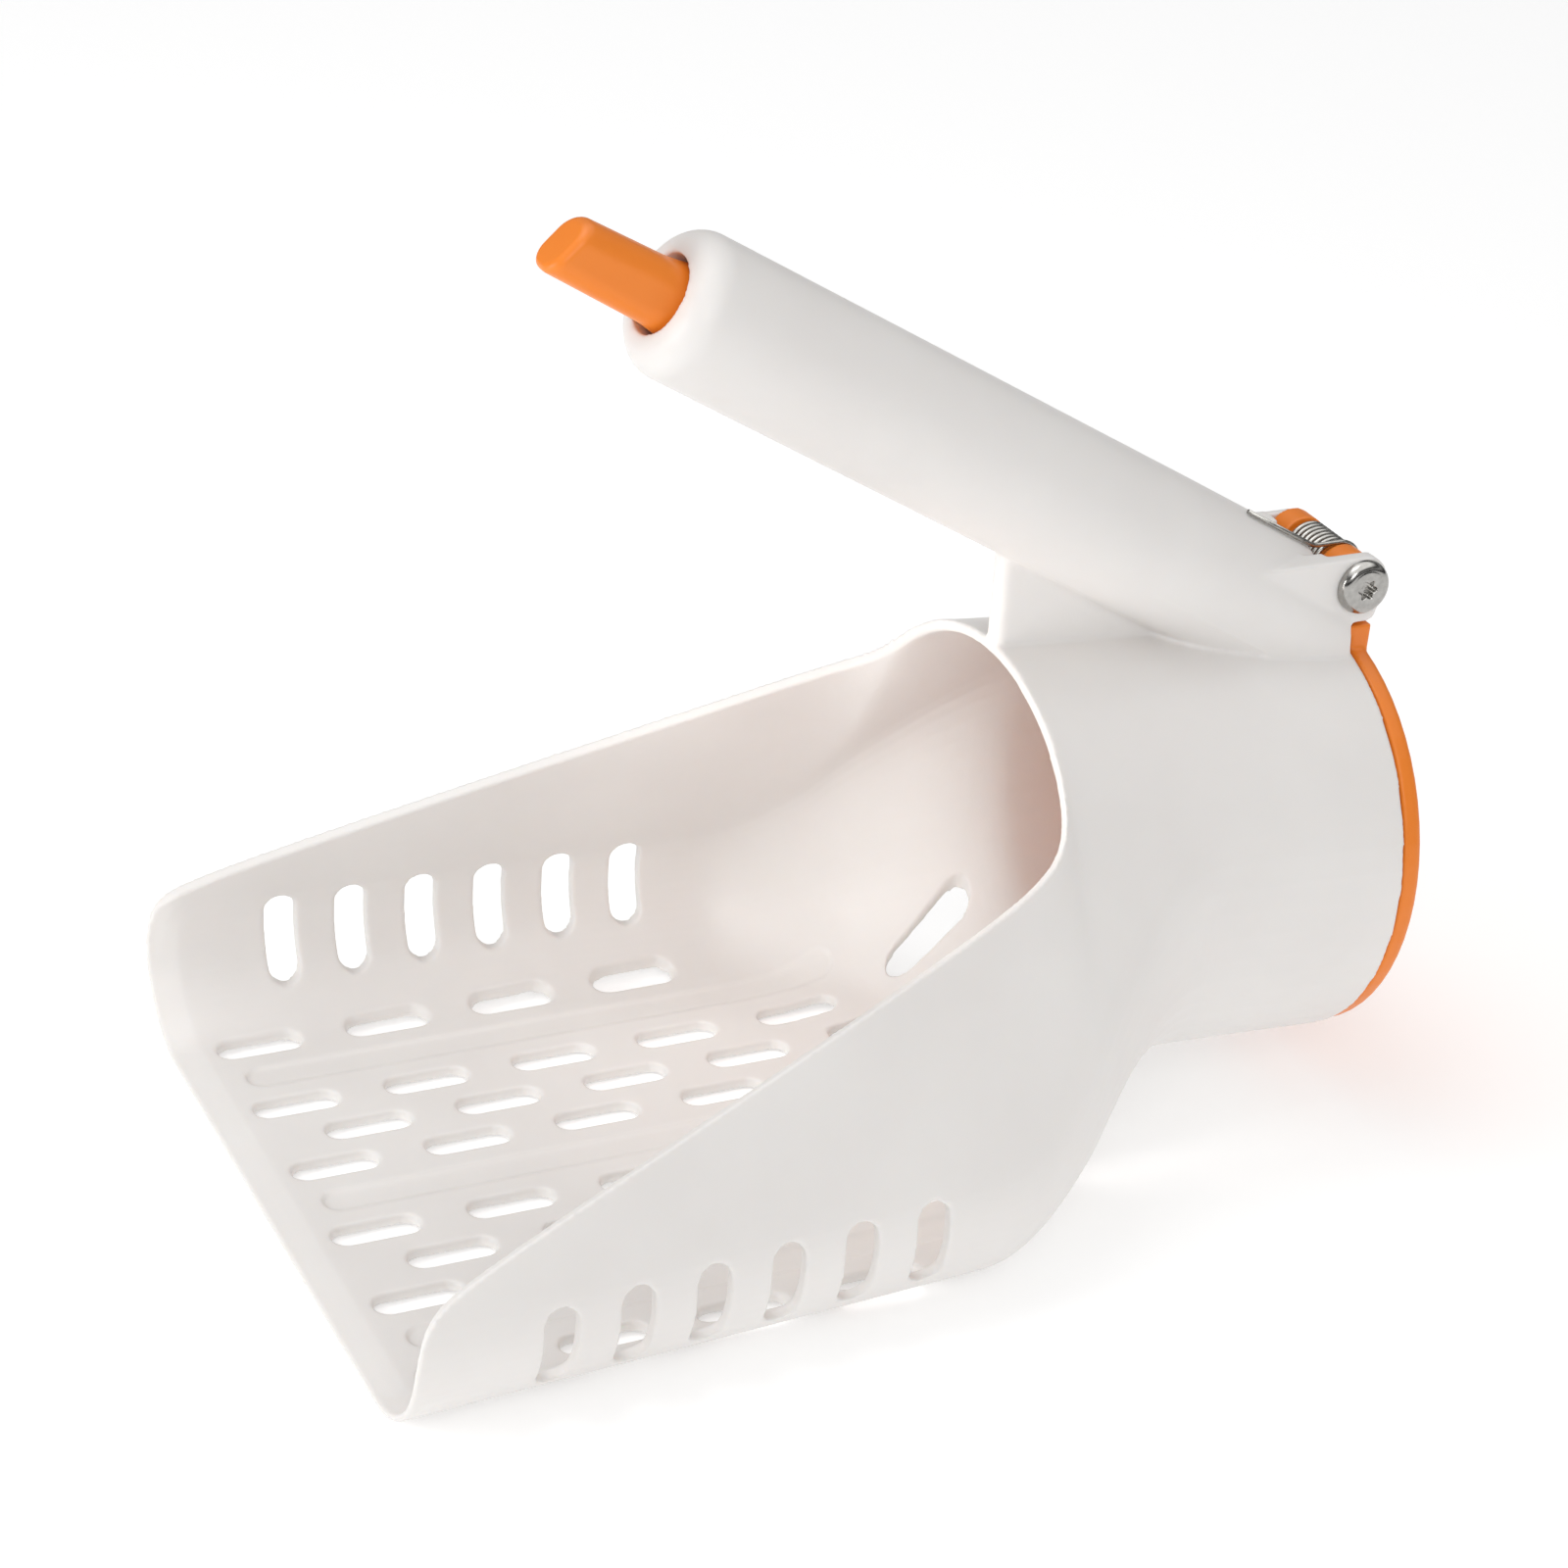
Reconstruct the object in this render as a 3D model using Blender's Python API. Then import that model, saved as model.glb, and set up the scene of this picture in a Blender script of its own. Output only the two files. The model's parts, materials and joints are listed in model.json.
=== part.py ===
"""Sieve scoop with a round discharge neck, a rear flap and a thumb button.

Frame: +X runs from the lip to the flap, +Z is up, Y = 0 is the plane of symmetry.
The origin is on the underside of the flat floor, ORIGIN behind the lip's front edge.
Below, X is measured from the lip and sizes are in millimetres; build_object turns
them into metres in the part's frame.
"""
import bmesh
import bpy
from math import acos, atan2, cos, exp, hypot, pi, radians, sin, sqrt, tan
from mathutils import Matrix, Vector

MM = 0.001
ORIGIN = Vector((60.0, 0.0, 0.0))
GAP = 0.3                      # clearance between neighbouring pieces

# --- tray and neck -------------------------------------------------------
WALL = 2.2                     # moulded wall thickness
LIP_THICKNESS = 1.2            # the floor thins towards the lip
LIP_BEVEL_END = 6.0
FLOOR_HALF = 54.0              # half width of the flat floor at the lip
FLOOR_TAPER = 0.06             # lost half width per mm of length
CORNER_RADIUS = 19.5           # floor to side wall
RIM_START = 28.0               # height of the rim's straight line at X = 0
RIM_SLOPE = 0.3286
RIM_BLEND = 5.9                # softens the corner from front edge to rim
ARCH_X = 132.6                 # front edge of the neck's roof
ARCH_BLEND = 6.9               # softens the corner from rim to arch
NECK_X = 131.0                 # where the roof starts to narrow
NECK_RADIUS = 39.95            # radius of the roof's circle at the flap
NARROWING = 3.5                # radius lost behind NECK_X
NARROWING_LENGTH = 11.0
SWELL = 4.65                   # radius gained just ahead of NECK_X
SWELL_LENGTH = 5.0
ROOF_FLARE = 0.079             # radius gained per mm towards the lip
ROOF_TOP_Z = 93.1              # highest line of the roof, at NECK_X
SHOULDER_START = 107.5         # flat floor turns into the round neck
SHOULDER_END = 162.0
ROUNDNESS = 0.985
REAR_X = 198.5
REAR_AXIS_Z = 48.8
REAR_TILT = radians(2.54)

# --- sieve slots -----------------------------------------------------------
SLOT_LENGTH = 16.0
SLOT_WIDTH = 5.6
SLOT_PITCH = 25.0
SLOT_FIRST_X = 16.0            # centre of the first slots
SLOT_STAGGER = 10.0
ROW_PITCH = 10.7               # rows lie at multiples of this on both sides
ROWS = (                       # row number, shift, slots in the row
    (1, 0.0, 5),
    (2, SLOT_STAGGER, 5),
    (3, 0.0, 5),
    (5, 0.0, 4),
)
RAMP_SLOT_X = 143.0            # one more slot of row RAMP_ROW, on the rising shoulder
RAMP_ROW = 3
SIDE_SLOT_FIRST_X = 25.2
SIDE_SLOT_PITCH = 13.65
SIDE_SLOT_COUNT = 6
SIDE_SLOT_BOTTOM = 6.2
SIDE_SLOT_HEIGHT = 16.8
SIDE_SLOT_WIDTH = 6.0
SIDE_SLOT_RISE = 0.03          # the row climbs slightly to the rear
GROOVE_ROWS = (0, 4)           # shallow stiffening channels between the slot rows
GROOVE_START = 10.0
GROOVE_LENGTH = 118.0
GROOVE_WIDTH = 7.0
GROOVE_DEPTH = 0.6

# --- handle ----------------------------------------------------------------
HANDLE_FRONT = Vector((68.2, 0.0, 162.5))
HANDLE_PITCH = radians(30.1)   # the handle drops towards the rear
HANDLE_RADIUS = 13.5
HANDLE_NOSE_HALF = 12.95       # the handle is slightly slimmer at its front end
HANDLE_NOSE_RADIUS = 5.6
HANDLE_NOSE_START = -3.5
HANDLE_TAPER_END = 110.0
HANDLE_BODY_END = 199.4        # X of the handle's rear face
BORE_RADIUS = 7.1
BORE_END = 108.0
ROD_HOLE_RADIUS = 2.9
CAVITY_START = 118.0
CAVITY_HALF = 4.6
CAVITY_LOW = -4.2
CAVITY_HIGH = 8.4
CAVITY_FLOOR_Z = 90.3
WEB_X = (131.9, 172.0)         # web that carries the handle on the neck
WEB_HALF = 2.3
WEB_CORNER = 2.0
WEB_BASE_Z = 85.0

# --- flap hinge --------------------------------------------------------------
PIN = Vector((200.3, 0.0, 100.0))
BLOCK_TOP_Z = 105.3            # flat tops of the hinge block's cheeks
BLOCK_MIDDLE_Z = 103.3         # lower top between the cheeks
CHEEK_INNER = 7.5
BLOCK_FRONT_X = 190.5          # foot of the front face, which slopes up along the handle
BLOCK_HALF = 12.3
BLOCK_BASE_Z = 84.0
NEAR_EAR = (-12.3, -9.2)
FAR_EAR = (12.9, 14.7)
EAR_RADIUS = 5.6
FAR_EAR_RADIUS = 3.9
EAR_HEEL_RADIUS = 2.0
EAR_HEEL = (2.0, -5.4)         # lower rear corner of the near ear, from the pin
PIN_HOLE_RADIUS = 2.65
KNUCKLE_RADIUS = 4.9
NEAR_KNUCKLE = (-8.9, -4.3)
FAR_KNUCKLE = (7.7, 12.6)
BARREL_RADIUS = 3.5
POCKET_RADIUS = 5.7
POCKET_FRONT = 6.0             # front wall of the hinge pocket, from the pin

# --- flap --------------------------------------------------------------------
FLAP_RADIUS = 39.9
FLAP_THICKNESS = 3.9
FLAP_ROUND = 1.5
ARM_FRONT_X = 200.0
ARM_HALF = 11.3
ARM_TOP = -8.6                 # top of the arm's shoulders, from the pin
ARM_BASE_Z = 70.0
CAM_HALF = 3.0
CAM_INNER = 5.6                # radii of the cam finger about the pin
CAM_OUTER = 9.4
FLAP_OPEN = radians(40.0)
BUTTON_TRAVEL = 5.0
CAM_BASE = BUTTON_TRAVEL / FLAP_OPEN
CAM_END_REACH = 0.5            # contact stops this far ahead of the base circle's foot

# --- plunger -----------------------------------------------------------------
BUTTON_TIP = -24.0
BUTTON_TIP_HALF = (4.5, 5.3)    # half width and height at the tip
BUTTON_ROOT_HALF = (4.8, 5.6)   # and where the flare starts
BUTTON_CORNER = 3.8
BUTTON_SLANT = 0.3              # the tip's upper edge stands back by this share of its height
BUTTON_FLARE_START = -7.0
BUTTON_FLARE_END = 1.0
BUTTON_BASE = 16.0
BUTTON_BASE_RADIUS = 6.8
BUTTON_EDGE = 1.6
ROD_RADIUS = 2.5
ROD_START = 2.0
ROD_END = 129.0
PUSHER_HALF = 4.2
PUSHER_START = 121.0
PUSHER_NOSE = (3.4, 6.7)       # lower and upper height of the nose

# --- spring and screw --------------------------------------------------------
SPRING_WIRE = 0.45             # wire radius
SPRING_RADIUS = 4.4
SPRING_SPAN = (-3.75, 7.1)
SPRING_TURNS = 8.0
SPRING_LEG = 17.0
HEAD_RADIUS = 5.1
HEAD_HEIGHT = 2.3
HEAD_FACE_RADIUS = 3.5
SOCKET_RADIUS = 1.75
SOCKET_DEPTH = 1.5
SLEEVE_RADIUS = 2.5
SLEEVE_BORE = 1.75
SLEEVE_FLANGE = (3.2, 0.9)     # radius and thickness
SCREW_SHANK_RADIUS = 1.45
SCREW_SHANK_END = 3.0

# --- colours: base colour, roughness, metallic -------------------------------------
WHITE_PLASTIC = ((0.78, 0.76, 0.74), 0.42, 0.0)
ORANGE_PLASTIC = ((0.86, 0.27, 0.045), 0.38, 0.0)
POLISHED_STEEL = ((0.70, 0.69, 0.67), 0.18, 1.0)
SPRING_STEEL = ((0.55, 0.54, 0.52), 0.25, 1.0)

AXIS = Vector((cos(HANDLE_PITCH), 0.0, -sin(HANDLE_PITCH)))    # along the handle
RISE = Vector((sin(HANDLE_PITCH), 0.0, cos(HANDLE_PITCH)))     # square to it, upwards


def handle_point(along, side=0.0, rise=0.0):
    """World point from a distance along the handle, sideways and above its axis."""
    return HANDLE_FRONT + AXIS * along + RISE * rise + Vector((0.0, side, 0.0))


def handle_matrix():
    """Turns (along, side, rise) into world coordinates."""
    return Matrix((
        (AXIS.x, 0.0, RISE.x, HANDLE_FRONT.x),
        (0.0, 1.0, 0.0, 0.0),
        (AXIS.z, 0.0, RISE.z, HANDLE_FRONT.z),
        (0.0, 0.0, 0.0, 1.0),
    ))


# --- scene helpers -----------------------------------------------------------

def clear_scene():
    for obj in list(bpy.data.objects):
        bpy.data.objects.remove(obj)


def make_material(name, colour, roughness, metallic):
    material = bpy.data.materials.new(name)
    material.use_nodes = True
    shader = material.node_tree.nodes["Principled BSDF"]
    shader.inputs["Base Color"].default_value = (*colour, 1.0)
    shader.inputs["Roughness"].default_value = roughness
    shader.inputs["Metallic"].default_value = metallic
    return material


def build_object(name, points, faces):
    """Make an object from points in millimetres."""
    mesh = bpy.data.meshes.new(name)
    mesh.from_pydata([(Vector(p) - ORIGIN) * MM for p in points], [], faces)
    obj = bpy.data.objects.new(name, mesh)
    bpy.context.collection.objects.link(obj)
    bm = bmesh.new()
    bm.from_mesh(mesh)
    bmesh.ops.remove_doubles(bm, verts=bm.verts, dist=1e-6)
    bmesh.ops.recalc_face_normals(bm, faces=bm.faces)
    bm.to_mesh(mesh)
    bm.free()
    return obj


def combine(target, tool, operation):
    """Apply one Boolean to the target and drop the tool."""
    modifier = target.modifiers.new(operation, "BOOLEAN")
    modifier.operation = operation
    modifier.solver = "EXACT"
    modifier.object = tool
    depsgraph = bpy.context.evaluated_depsgraph_get()
    mesh = bpy.data.meshes.new_from_object(target.evaluated_get(depsgraph))
    target.modifiers.remove(modifier)
    target.data = mesh
    bpy.data.objects.remove(tool)
    return target


def union(target, tool):
    return combine(target, tool, "UNION")


def cut(target, tool):
    return combine(target, tool, "DIFFERENCE")


def finish(obj, name, material, pivot=None):
    """Name the piece, give it its material, shade it smooth, put its origin on its joint."""
    obj.name = name
    obj.data.name = name
    obj.data.materials.clear()
    obj.data.materials.append(material)
    obj.data.shade_smooth()
    obj.data.set_sharp_from_angle(angle=radians(35.0))
    if pivot:
        place = (pivot - ORIGIN) * MM
        obj.data.transform(Matrix.Translation(-place))
        obj.location = place
    return obj


# --- solid builders ------------------------------------------------------------

def loft(rings, close_ends=True):
    """Skin a list of equal point rings; returns points and faces."""
    count = len(rings[0])
    points = [p for ring in rings for p in ring]
    faces = []
    for i in range(len(rings) - 1):
        for j in range(count):
            k = (j + 1) % count
            faces.append((i * count + j, i * count + k, (i + 1) * count + k, (i + 1) * count + j))
    if close_ends:
        faces.append(tuple(reversed(range(count))))
        faces.append(tuple((len(rings) - 1) * count + j for j in range(count)))
    return points, faces


def prism(outline, low, high):
    """Extrude an outline of (x, z) points between two values of Y."""
    rings = [[Vector((x, y, z)) for x, z in outline] for y in (low, high)]
    return build_object("prism", *loft(rings))


def arc(centre, radius, start, end, steps):
    """Points of an arc in the XZ plane, angles in degrees."""
    angles = [radians(start + (end - start) * i / steps) for i in range(steps + 1)]
    return [(centre[0] + radius * cos(a), centre[1] + radius * sin(a)) for a in angles]


def turned(profile, matrix, segments=32):
    """Solid of revolution; the profile lists (distance along local X, radius)."""
    rings = []
    for along, radius in profile:
        ring = []
        for j in range(segments):
            a = 2 * pi * j / segments
            ring.append(matrix @ Vector((along, radius * cos(a), radius * sin(a))))
        rings.append(ring)
    return build_object("turned", *loft(rings))


def pin_matrix():
    """Local X becomes world Y, centred on the hinge pin."""
    return Matrix.Translation(PIN) @ Matrix.Rotation(pi / 2, 4, "Z")


def pin_cylinder(radius, span, segments=32):
    return turned([(span[0], radius), (span[1], radius)], pin_matrix(), segments)


def stadium(length, width, steps=4):
    """Outline of a slot with round ends, its long side along the first axis."""
    radius = width / 2
    reach = length / 2 - radius
    right = [(reach + radius * cos(a), radius * sin(a))
             for a in (radians(-90 + 180 * i / steps) for i in range(steps + 1))]
    return right + [(-x, -y) for x, y in right]


# --- tray and neck ---------------------------------------------------------------

def ease(value, low, high):
    t = min(1.0, max(0.0, (value - low) / (high - low)))
    return t * t * (3.0 - 2.0 * t)


def section_circles(x):
    """The section is the hull of a roof circle and two corner circles."""
    ahead = (NECK_X - x + hypot(NECK_X - x, 1.0)) / 2
    behind = ahead + x - NECK_X
    radius = NECK_RADIUS + NARROWING * exp(-behind / NARROWING_LENGTH)
    fall = (ROOF_TOP_Z - REAR_AXIS_Z - NECK_RADIUS) * behind / (REAR_X - NECK_X)
    axis_z = ROOF_TOP_Z - fall - radius
    blend = ROUNDNESS * ease(x, SHOULDER_START, SHOULDER_END)
    corner_y = (1 - blend) * (FLOOR_HALF - FLOOR_TAPER * x)
    corner_z = (1 - blend) * CORNER_RADIUS + blend * axis_z
    corner_radius = (1 - blend) * CORNER_RADIUS + blend * radius
    radius += SWELL * (1.0 - exp(-ahead / SWELL_LENGTH)) + ROOF_FLARE * ahead
    return radius, axis_z, corner_y, corner_z, corner_radius


def section_point(x, zone, t, inset):
    """Point (y, z) on the section at x; zones follow each other from floor to roof."""
    radius, axis_z, corner_y, corner_z, corner_radius = section_circles(x)
    radius -= inset
    corner_radius -= inset
    rise = axis_z - corner_z
    tangent = acos((radius - corner_radius) / hypot(corner_y, rise)) - atan2(rise, corner_y)
    if zone == "floor":
        return t * corner_y, corner_z - corner_radius
    if zone == "corner":
        a = -pi / 2 + t * (tangent + pi / 2)
        return corner_y + corner_radius * cos(a), corner_z + corner_radius * sin(a)
    if zone == "wall":
        low_y = corner_y + corner_radius * cos(tangent)
        low_z = corner_z + corner_radius * sin(tangent)
        high_y = radius * cos(tangent)
        high_z = axis_z + radius * sin(tangent)
        return low_y + t * (high_y - low_y), low_z + t * (high_z - low_z)
    a = tangent + t * (pi / 2 - tangent)
    return radius * cos(a), axis_z + radius * sin(a)


def mouth_x(z):
    """Front boundary of the moulding at height z: lip, wall edge, rim, then arch."""
    rim = (z - RIM_START) / RIM_SLOPE
    front = rim / 2 + hypot(rim / 2, RIM_BLEND)
    front -= RIM_BLEND ** 2 / (RIM_START / RIM_SLOPE)
    return max(0.0, (front + ARCH_X) / 2 - hypot((front - ARCH_X) / 2, ARCH_BLEND))


def line_start(zone, t):
    """X at which one lengthwise line of the shell leaves the mouth's edge."""
    low, high = 0.0, NECK_X + 12.0
    if mouth_x(section_point(low, zone, t, 0.0)[1]) <= 0.0:
        return 0.0
    for _ in range(40):
        middle = (low + high) / 2
        if middle < mouth_x(section_point(middle, zone, t, 0.0)[1]):
            low = middle
        else:
            high = middle
    return high


def shell_lines():
    """(zone, t, side) of every lengthwise line, once round the section."""
    half = [("floor", i / 5) for i in range(6)]
    half += [("corner", i / 4) for i in range(1, 5)]
    half += [("wall", i / 9) for i in range(1, 10)]
    half += [("roof", (i / 11) ** 1.25) for i in range(1, 12)]
    near = [(zone, t, -1) for zone, t in half]
    far = [(zone, t, 1) for zone, t in half]
    return near + far[-2:0:-1]


def shell_stations(start):
    """X positions along one line, closer together over the shoulder."""
    knee = max(SHOULDER_START - 6.0, start + 2.0)
    front = [start + (knee - start) * u for u in (0.0, 0.055, 0.28, 0.52, 0.76)]
    count = 11
    return front + [knee + (REAR_X - knee) * i / count for i in range(count + 1)]


def shell_point(x, zone, t, side, inset):
    y, z = section_point(x, zone, t, inset)
    lean = tan(REAR_TILT) * (z - REAR_AXIS_Z) * ease(x, NECK_X, REAR_X)
    return Vector((x + lean, side * y, z))


def lip_inset(x):
    """Wall thickness, thinner at the lip."""
    return LIP_THICKNESS + (WALL - LIP_THICKNESS) * ease(x, 0.0, LIP_BEVEL_END)


def skin(inset):
    """Rings of the outer (inset 0) or inner skin, from the mouth to the rear rim."""
    columns = []
    for zone, t, side in shell_lines():
        start = line_start(zone, t)
        column = []
        for x in shell_stations(start):
            depth = min(inset, lip_inset(x)) if inset else 0.0
            column.append(shell_point(x, zone, t, side, depth))
        columns.append(column)
    return [list(ring) for ring in zip(*columns)]


def make_shell():
    outer = skin(0.0)
    inner = skin(WALL)
    rings = outer + inner[::-1]
    points, faces = loft(rings, close_ends=False)
    count = len(outer[0])
    last = (len(rings) - 1) * count
    for j in range(count):
        k = (j + 1) % count
        faces.append((last + j, last + k, k, j))
    return build_object("shell", points, faces)


def make_neck_core():
    """Solid that fills the neck up to the middle of its wall."""
    rings = []
    for i in range(15):
        x = NECK_X - 6.0 + (REAR_X + 8.0 - NECK_X) * i / 14
        ring = []
        for zone, t, side in shell_lines():
            ring.append(shell_point(x, zone, t, side, WALL / 2))
        rings.append(ring)
    return build_object("core", *loft(rings))


def slot_cutter(centre, length, width, low, high, upright=False):
    """Slot-shaped prism: along Z for the floor, along Y for a side wall."""
    rings = []
    for level in (low, high):
        ring = []
        for a, b in stadium(length, width):
            if upright:
                ring.append(Vector((centre[0] + b, level, centre[1] + a)))
            else:
                ring.append(Vector((centre[0] + a, centre[1] + b, level)))
        rings.append(ring)
    return loft(rings)


def floor_height(x, y, inset):
    """Height of the outer (inset 0) or inner skin at a point of the floor."""
    radius, axis_z, corner_y, corner_z, corner_radius = section_circles(x)
    over = max(0.0, abs(y) - corner_y)
    return corner_z - sqrt((corner_radius - inset) ** 2 - over ** 2)


def groove_cutter(row_y):
    """Channel with round ends that follows the floor up the shoulder."""
    half = GROOVE_WIDTH / 2
    end = GROOVE_START + GROOVE_LENGTH
    turn = [(half * (1 - cos(radians(a))), half * sin(radians(a))) for a in (20, 40, 60, 90)]
    plan = [(GROOVE_START + along, width) for along, width in turn]
    plan += [(x, half) for x in (SHOULDER_START, 113.0, 118.0)]
    plan += [(end - along, width) for along, width in reversed(turn)]
    rings = []
    for x, width in plan:
        right = floor_height(x, row_y + width, WALL)
        left = floor_height(x, row_y - width, WALL)
        rings.append([Vector((x, row_y - width, left - GROOVE_DEPTH)),
                      Vector((x, row_y + width, right - GROOVE_DEPTH)),
                      Vector((x, row_y + width, right + 3.0)),
                      Vector((x, row_y - width, left + 3.0))])
    return loft(rings)


def make_slots():
    """All sieve slots and grooves as one group of separate cutters."""
    solids = []
    for row, shift, count in ROWS:
        for i in range(count):
            x = SLOT_FIRST_X + shift + SLOT_PITCH * i
            for side in (-1, 1):
                y = side * row * ROW_PITCH
                solids.append(slot_cutter((x, y), SLOT_LENGTH, SLOT_WIDTH, -3.0, WALL + 5.0))
    for side in (-1, 1):
        centre = (RAMP_SLOT_X, side * RAMP_ROW * ROW_PITCH)
        solids.append(slot_cutter(centre, SLOT_LENGTH, SLOT_WIDTH, -3.0, 32.0))
    for i in range(SIDE_SLOT_COUNT):
        x = SIDE_SLOT_FIRST_X + SIDE_SLOT_PITCH * i
        z = SIDE_SLOT_BOTTOM + SIDE_SLOT_HEIGHT / 2 + SIDE_SLOT_RISE * x
        for span in ((-80.0, -50.0), (50.0, 80.0)):
            solids.append(slot_cutter((x, z), SIDE_SLOT_HEIGHT, SIDE_SLOT_WIDTH, *span, upright=True))
    for row in GROOVE_ROWS:
        for side in (-1, 1) if row else (1,):
            solids.append(groove_cutter(side * row * ROW_PITCH))
    points, faces = [], []
    for solid_points, solid_faces in solids:
        base = len(points)
        points += solid_points
        faces += [tuple(base + index for index in face) for face in solid_faces]
    return build_object("slots", points, faces)


# --- handle, hinge block -----------------------------------------------------------

def make_handle():
    """Solid handle with its hinge block, before it joins the neck."""
    nose = []
    for i in range(6):
        a = radians(90.0 * i / 5)
        nose.append((HANDLE_NOSE_START + HANDLE_NOSE_RADIUS * (1 - cos(a)),
                     HANDLE_NOSE_HALF - HANDLE_NOSE_RADIUS * (1 - sin(a))))
    end = (HANDLE_BODY_END + 10.0 - HANDLE_FRONT.x) / AXIS.x
    handle = turned(nose + [(HANDLE_TAPER_END, HANDLE_RADIUS), (end, HANDLE_RADIUS)], handle_matrix(), 48)
    trim = prism([(HANDLE_BODY_END, 40.0), (260.0, 40.0), (260.0, 140.0), (HANDLE_BODY_END, 140.0)],
                 -30.0, 30.0)
    cut(handle, trim)
    union(handle, make_web())
    union(handle, prism(block_outline(BLOCK_MIDDLE_Z), -BLOCK_HALF, BLOCK_HALF))
    union(handle, prism(block_outline(BLOCK_TOP_Z), -BLOCK_HALF, -CHEEK_INNER))
    union(handle, prism(block_outline(BLOCK_TOP_Z), CHEEK_INNER, BLOCK_HALF))
    union(handle, prism(far_cheek_outline(), BLOCK_HALF - 4.0, FAR_EAR[1]))
    return handle


def make_web():
    """Upright web that carries the handle on the roof of the neck."""
    front, rear = WEB_X
    plan = [(front + WEB_CORNER * (1 - cos(a)), WEB_HALF - WEB_CORNER * (1 - sin(a)))
            for a in (radians(90.0 * i / 5) for i in range(6))]
    outline = plan + [(rear, WEB_HALF), (rear, -WEB_HALF)] + [(x, -y) for x, y in reversed(plan)]
    rings = []
    for level in (0.0, 1.0):
        ring = []
        for x, y in outline:
            top = handle_point((x - HANDLE_FRONT.x) / AXIS.x).z - 5.0
            ring.append(Vector((x, y, WEB_BASE_Z if level == 0.0 else top)))
        rings.append(ring)
    return build_object("web", *loft(rings))


def block_outline(top):
    """Side view of the hinge block with its near ear, up to a flat top."""
    heel = (PIN.x + EAR_HEEL[0], PIN.z + EAR_HEEL[1])
    outline = [(BLOCK_FRONT_X, BLOCK_BASE_Z), (HANDLE_BODY_END, BLOCK_BASE_Z)]
    outline += [(HANDLE_BODY_END, heel[1] - EAR_HEEL_RADIUS)]
    outline += arc(heel, EAR_HEEL_RADIUS, -90.0, -10.0, 5)
    outline += arc((PIN.x, PIN.z), EAR_RADIUS, -10.0, 70.0, 8)
    outline += [(PIN.x - 1.0, top), (158.0, top)]
    return outline


def far_cheek_outline():
    """The far ear is lower and stands just outside the handle."""
    top = PIN.z + FAR_EAR_RADIUS
    outline = [(182.0, BLOCK_BASE_Z + 4.0), (HANDLE_BODY_END, BLOCK_BASE_Z + 4.0)]
    outline += [(HANDLE_BODY_END, PIN.z - FAR_EAR_RADIUS)]
    outline += arc((PIN.x, PIN.z), FAR_EAR_RADIUS, -90.0, 90.0, 12)
    outline += [(176.0, top)]
    return outline


def pocket_outline():
    """Side view of the hinge pocket: round the pin, open above and behind."""
    front = PIN.x - POCKET_FRONT
    outline = [(front, PIN.z)]
    outline += arc((PIN.x, PIN.z), POCKET_RADIUS, 190.0, 260.0, 7)
    outline += [(HANDLE_BODY_END, PIN.z - POCKET_RADIUS), (HANDLE_BODY_END, CAVITY_FLOOR_Z - 0.8)]
    outline += [(PIN.x + 20.0, CAVITY_FLOOR_Z - 0.8)]
    outline += [(PIN.x + 20.0, 115.0), (front, 115.0)]
    return outline


def cavity_outline():
    """Side view of the room for the pusher and the flap's cam finger."""
    def place(along, rise):
        point = handle_point(along, 0.0, rise)
        return point.x, point.z
    low = (HANDLE_FRONT.z + CAVITY_LOW * RISE.z - CAVITY_FLOOR_Z) / sin(HANDLE_PITCH)
    rear = HANDLE_BODY_END + 15.0
    return [place(CAVITY_START, CAVITY_LOW), place(low, CAVITY_LOW), (rear, CAVITY_FLOOR_Z),
            (rear, PIN.z), (PIN.x - 3.0, PIN.z), place(CAVITY_START + 16.0, CAVITY_HIGH),
            place(CAVITY_START, CAVITY_HIGH)]


def make_body(material):
    """Tray, neck and handle are one moulding."""
    body = make_shell()
    cut(body, make_slots())
    handle = make_handle()
    cut(handle, make_neck_core())
    union(body, handle)
    cut(body, turned([(-5.0, BORE_RADIUS), (BORE_END, BORE_RADIUS)], handle_matrix(), 40))
    cut(body, turned([(BORE_END - 5.0, ROD_HOLE_RADIUS), (CAVITY_START + 5.0, ROD_HOLE_RADIUS)],
                     handle_matrix(), 24))
    cut(body, prism(cavity_outline(), -CAVITY_HALF, CAVITY_HALF))
    cut(body, prism(pocket_outline(), NEAR_EAR[1], FAR_EAR[0]))
    shoulder_room = [(HANDLE_BODY_END, 80.0), (230.0, 80.0), (230.0, PIN.z + ARM_TOP + 0.6),
                     (HANDLE_BODY_END, PIN.z + ARM_TOP + 0.6)]
    cut(body, prism(shoulder_room, -BLOCK_HALF - 4.0, BLOCK_HALF + 4.0))
    cut(body, pin_cylinder(PIN_HOLE_RADIUS, (-20.0, 20.0), 24))
    radius, thickness = SLEEVE_FLANGE
    cut(body, pin_cylinder(radius + 0.2, (FAR_EAR[1] - thickness - 0.1, 20.0), 24))
    return finish(body, "scoop_body", material)


# --- flap ---------------------------------------------------------------------------

def rear_matrix():
    """Local X points out of the rear rim, its origin at the rim's centre."""
    return (Matrix.Translation(Vector((REAR_X, 0.0, REAR_AXIS_Z)))
            @ Matrix.Rotation(REAR_TILT, 4, "Y"))


def turn_open(x, z, angle):
    """Turn an XZ offset from the pin by the flap's opening angle."""
    return x * cos(angle) - z * sin(angle), x * sin(angle) + z * cos(angle)


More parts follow.
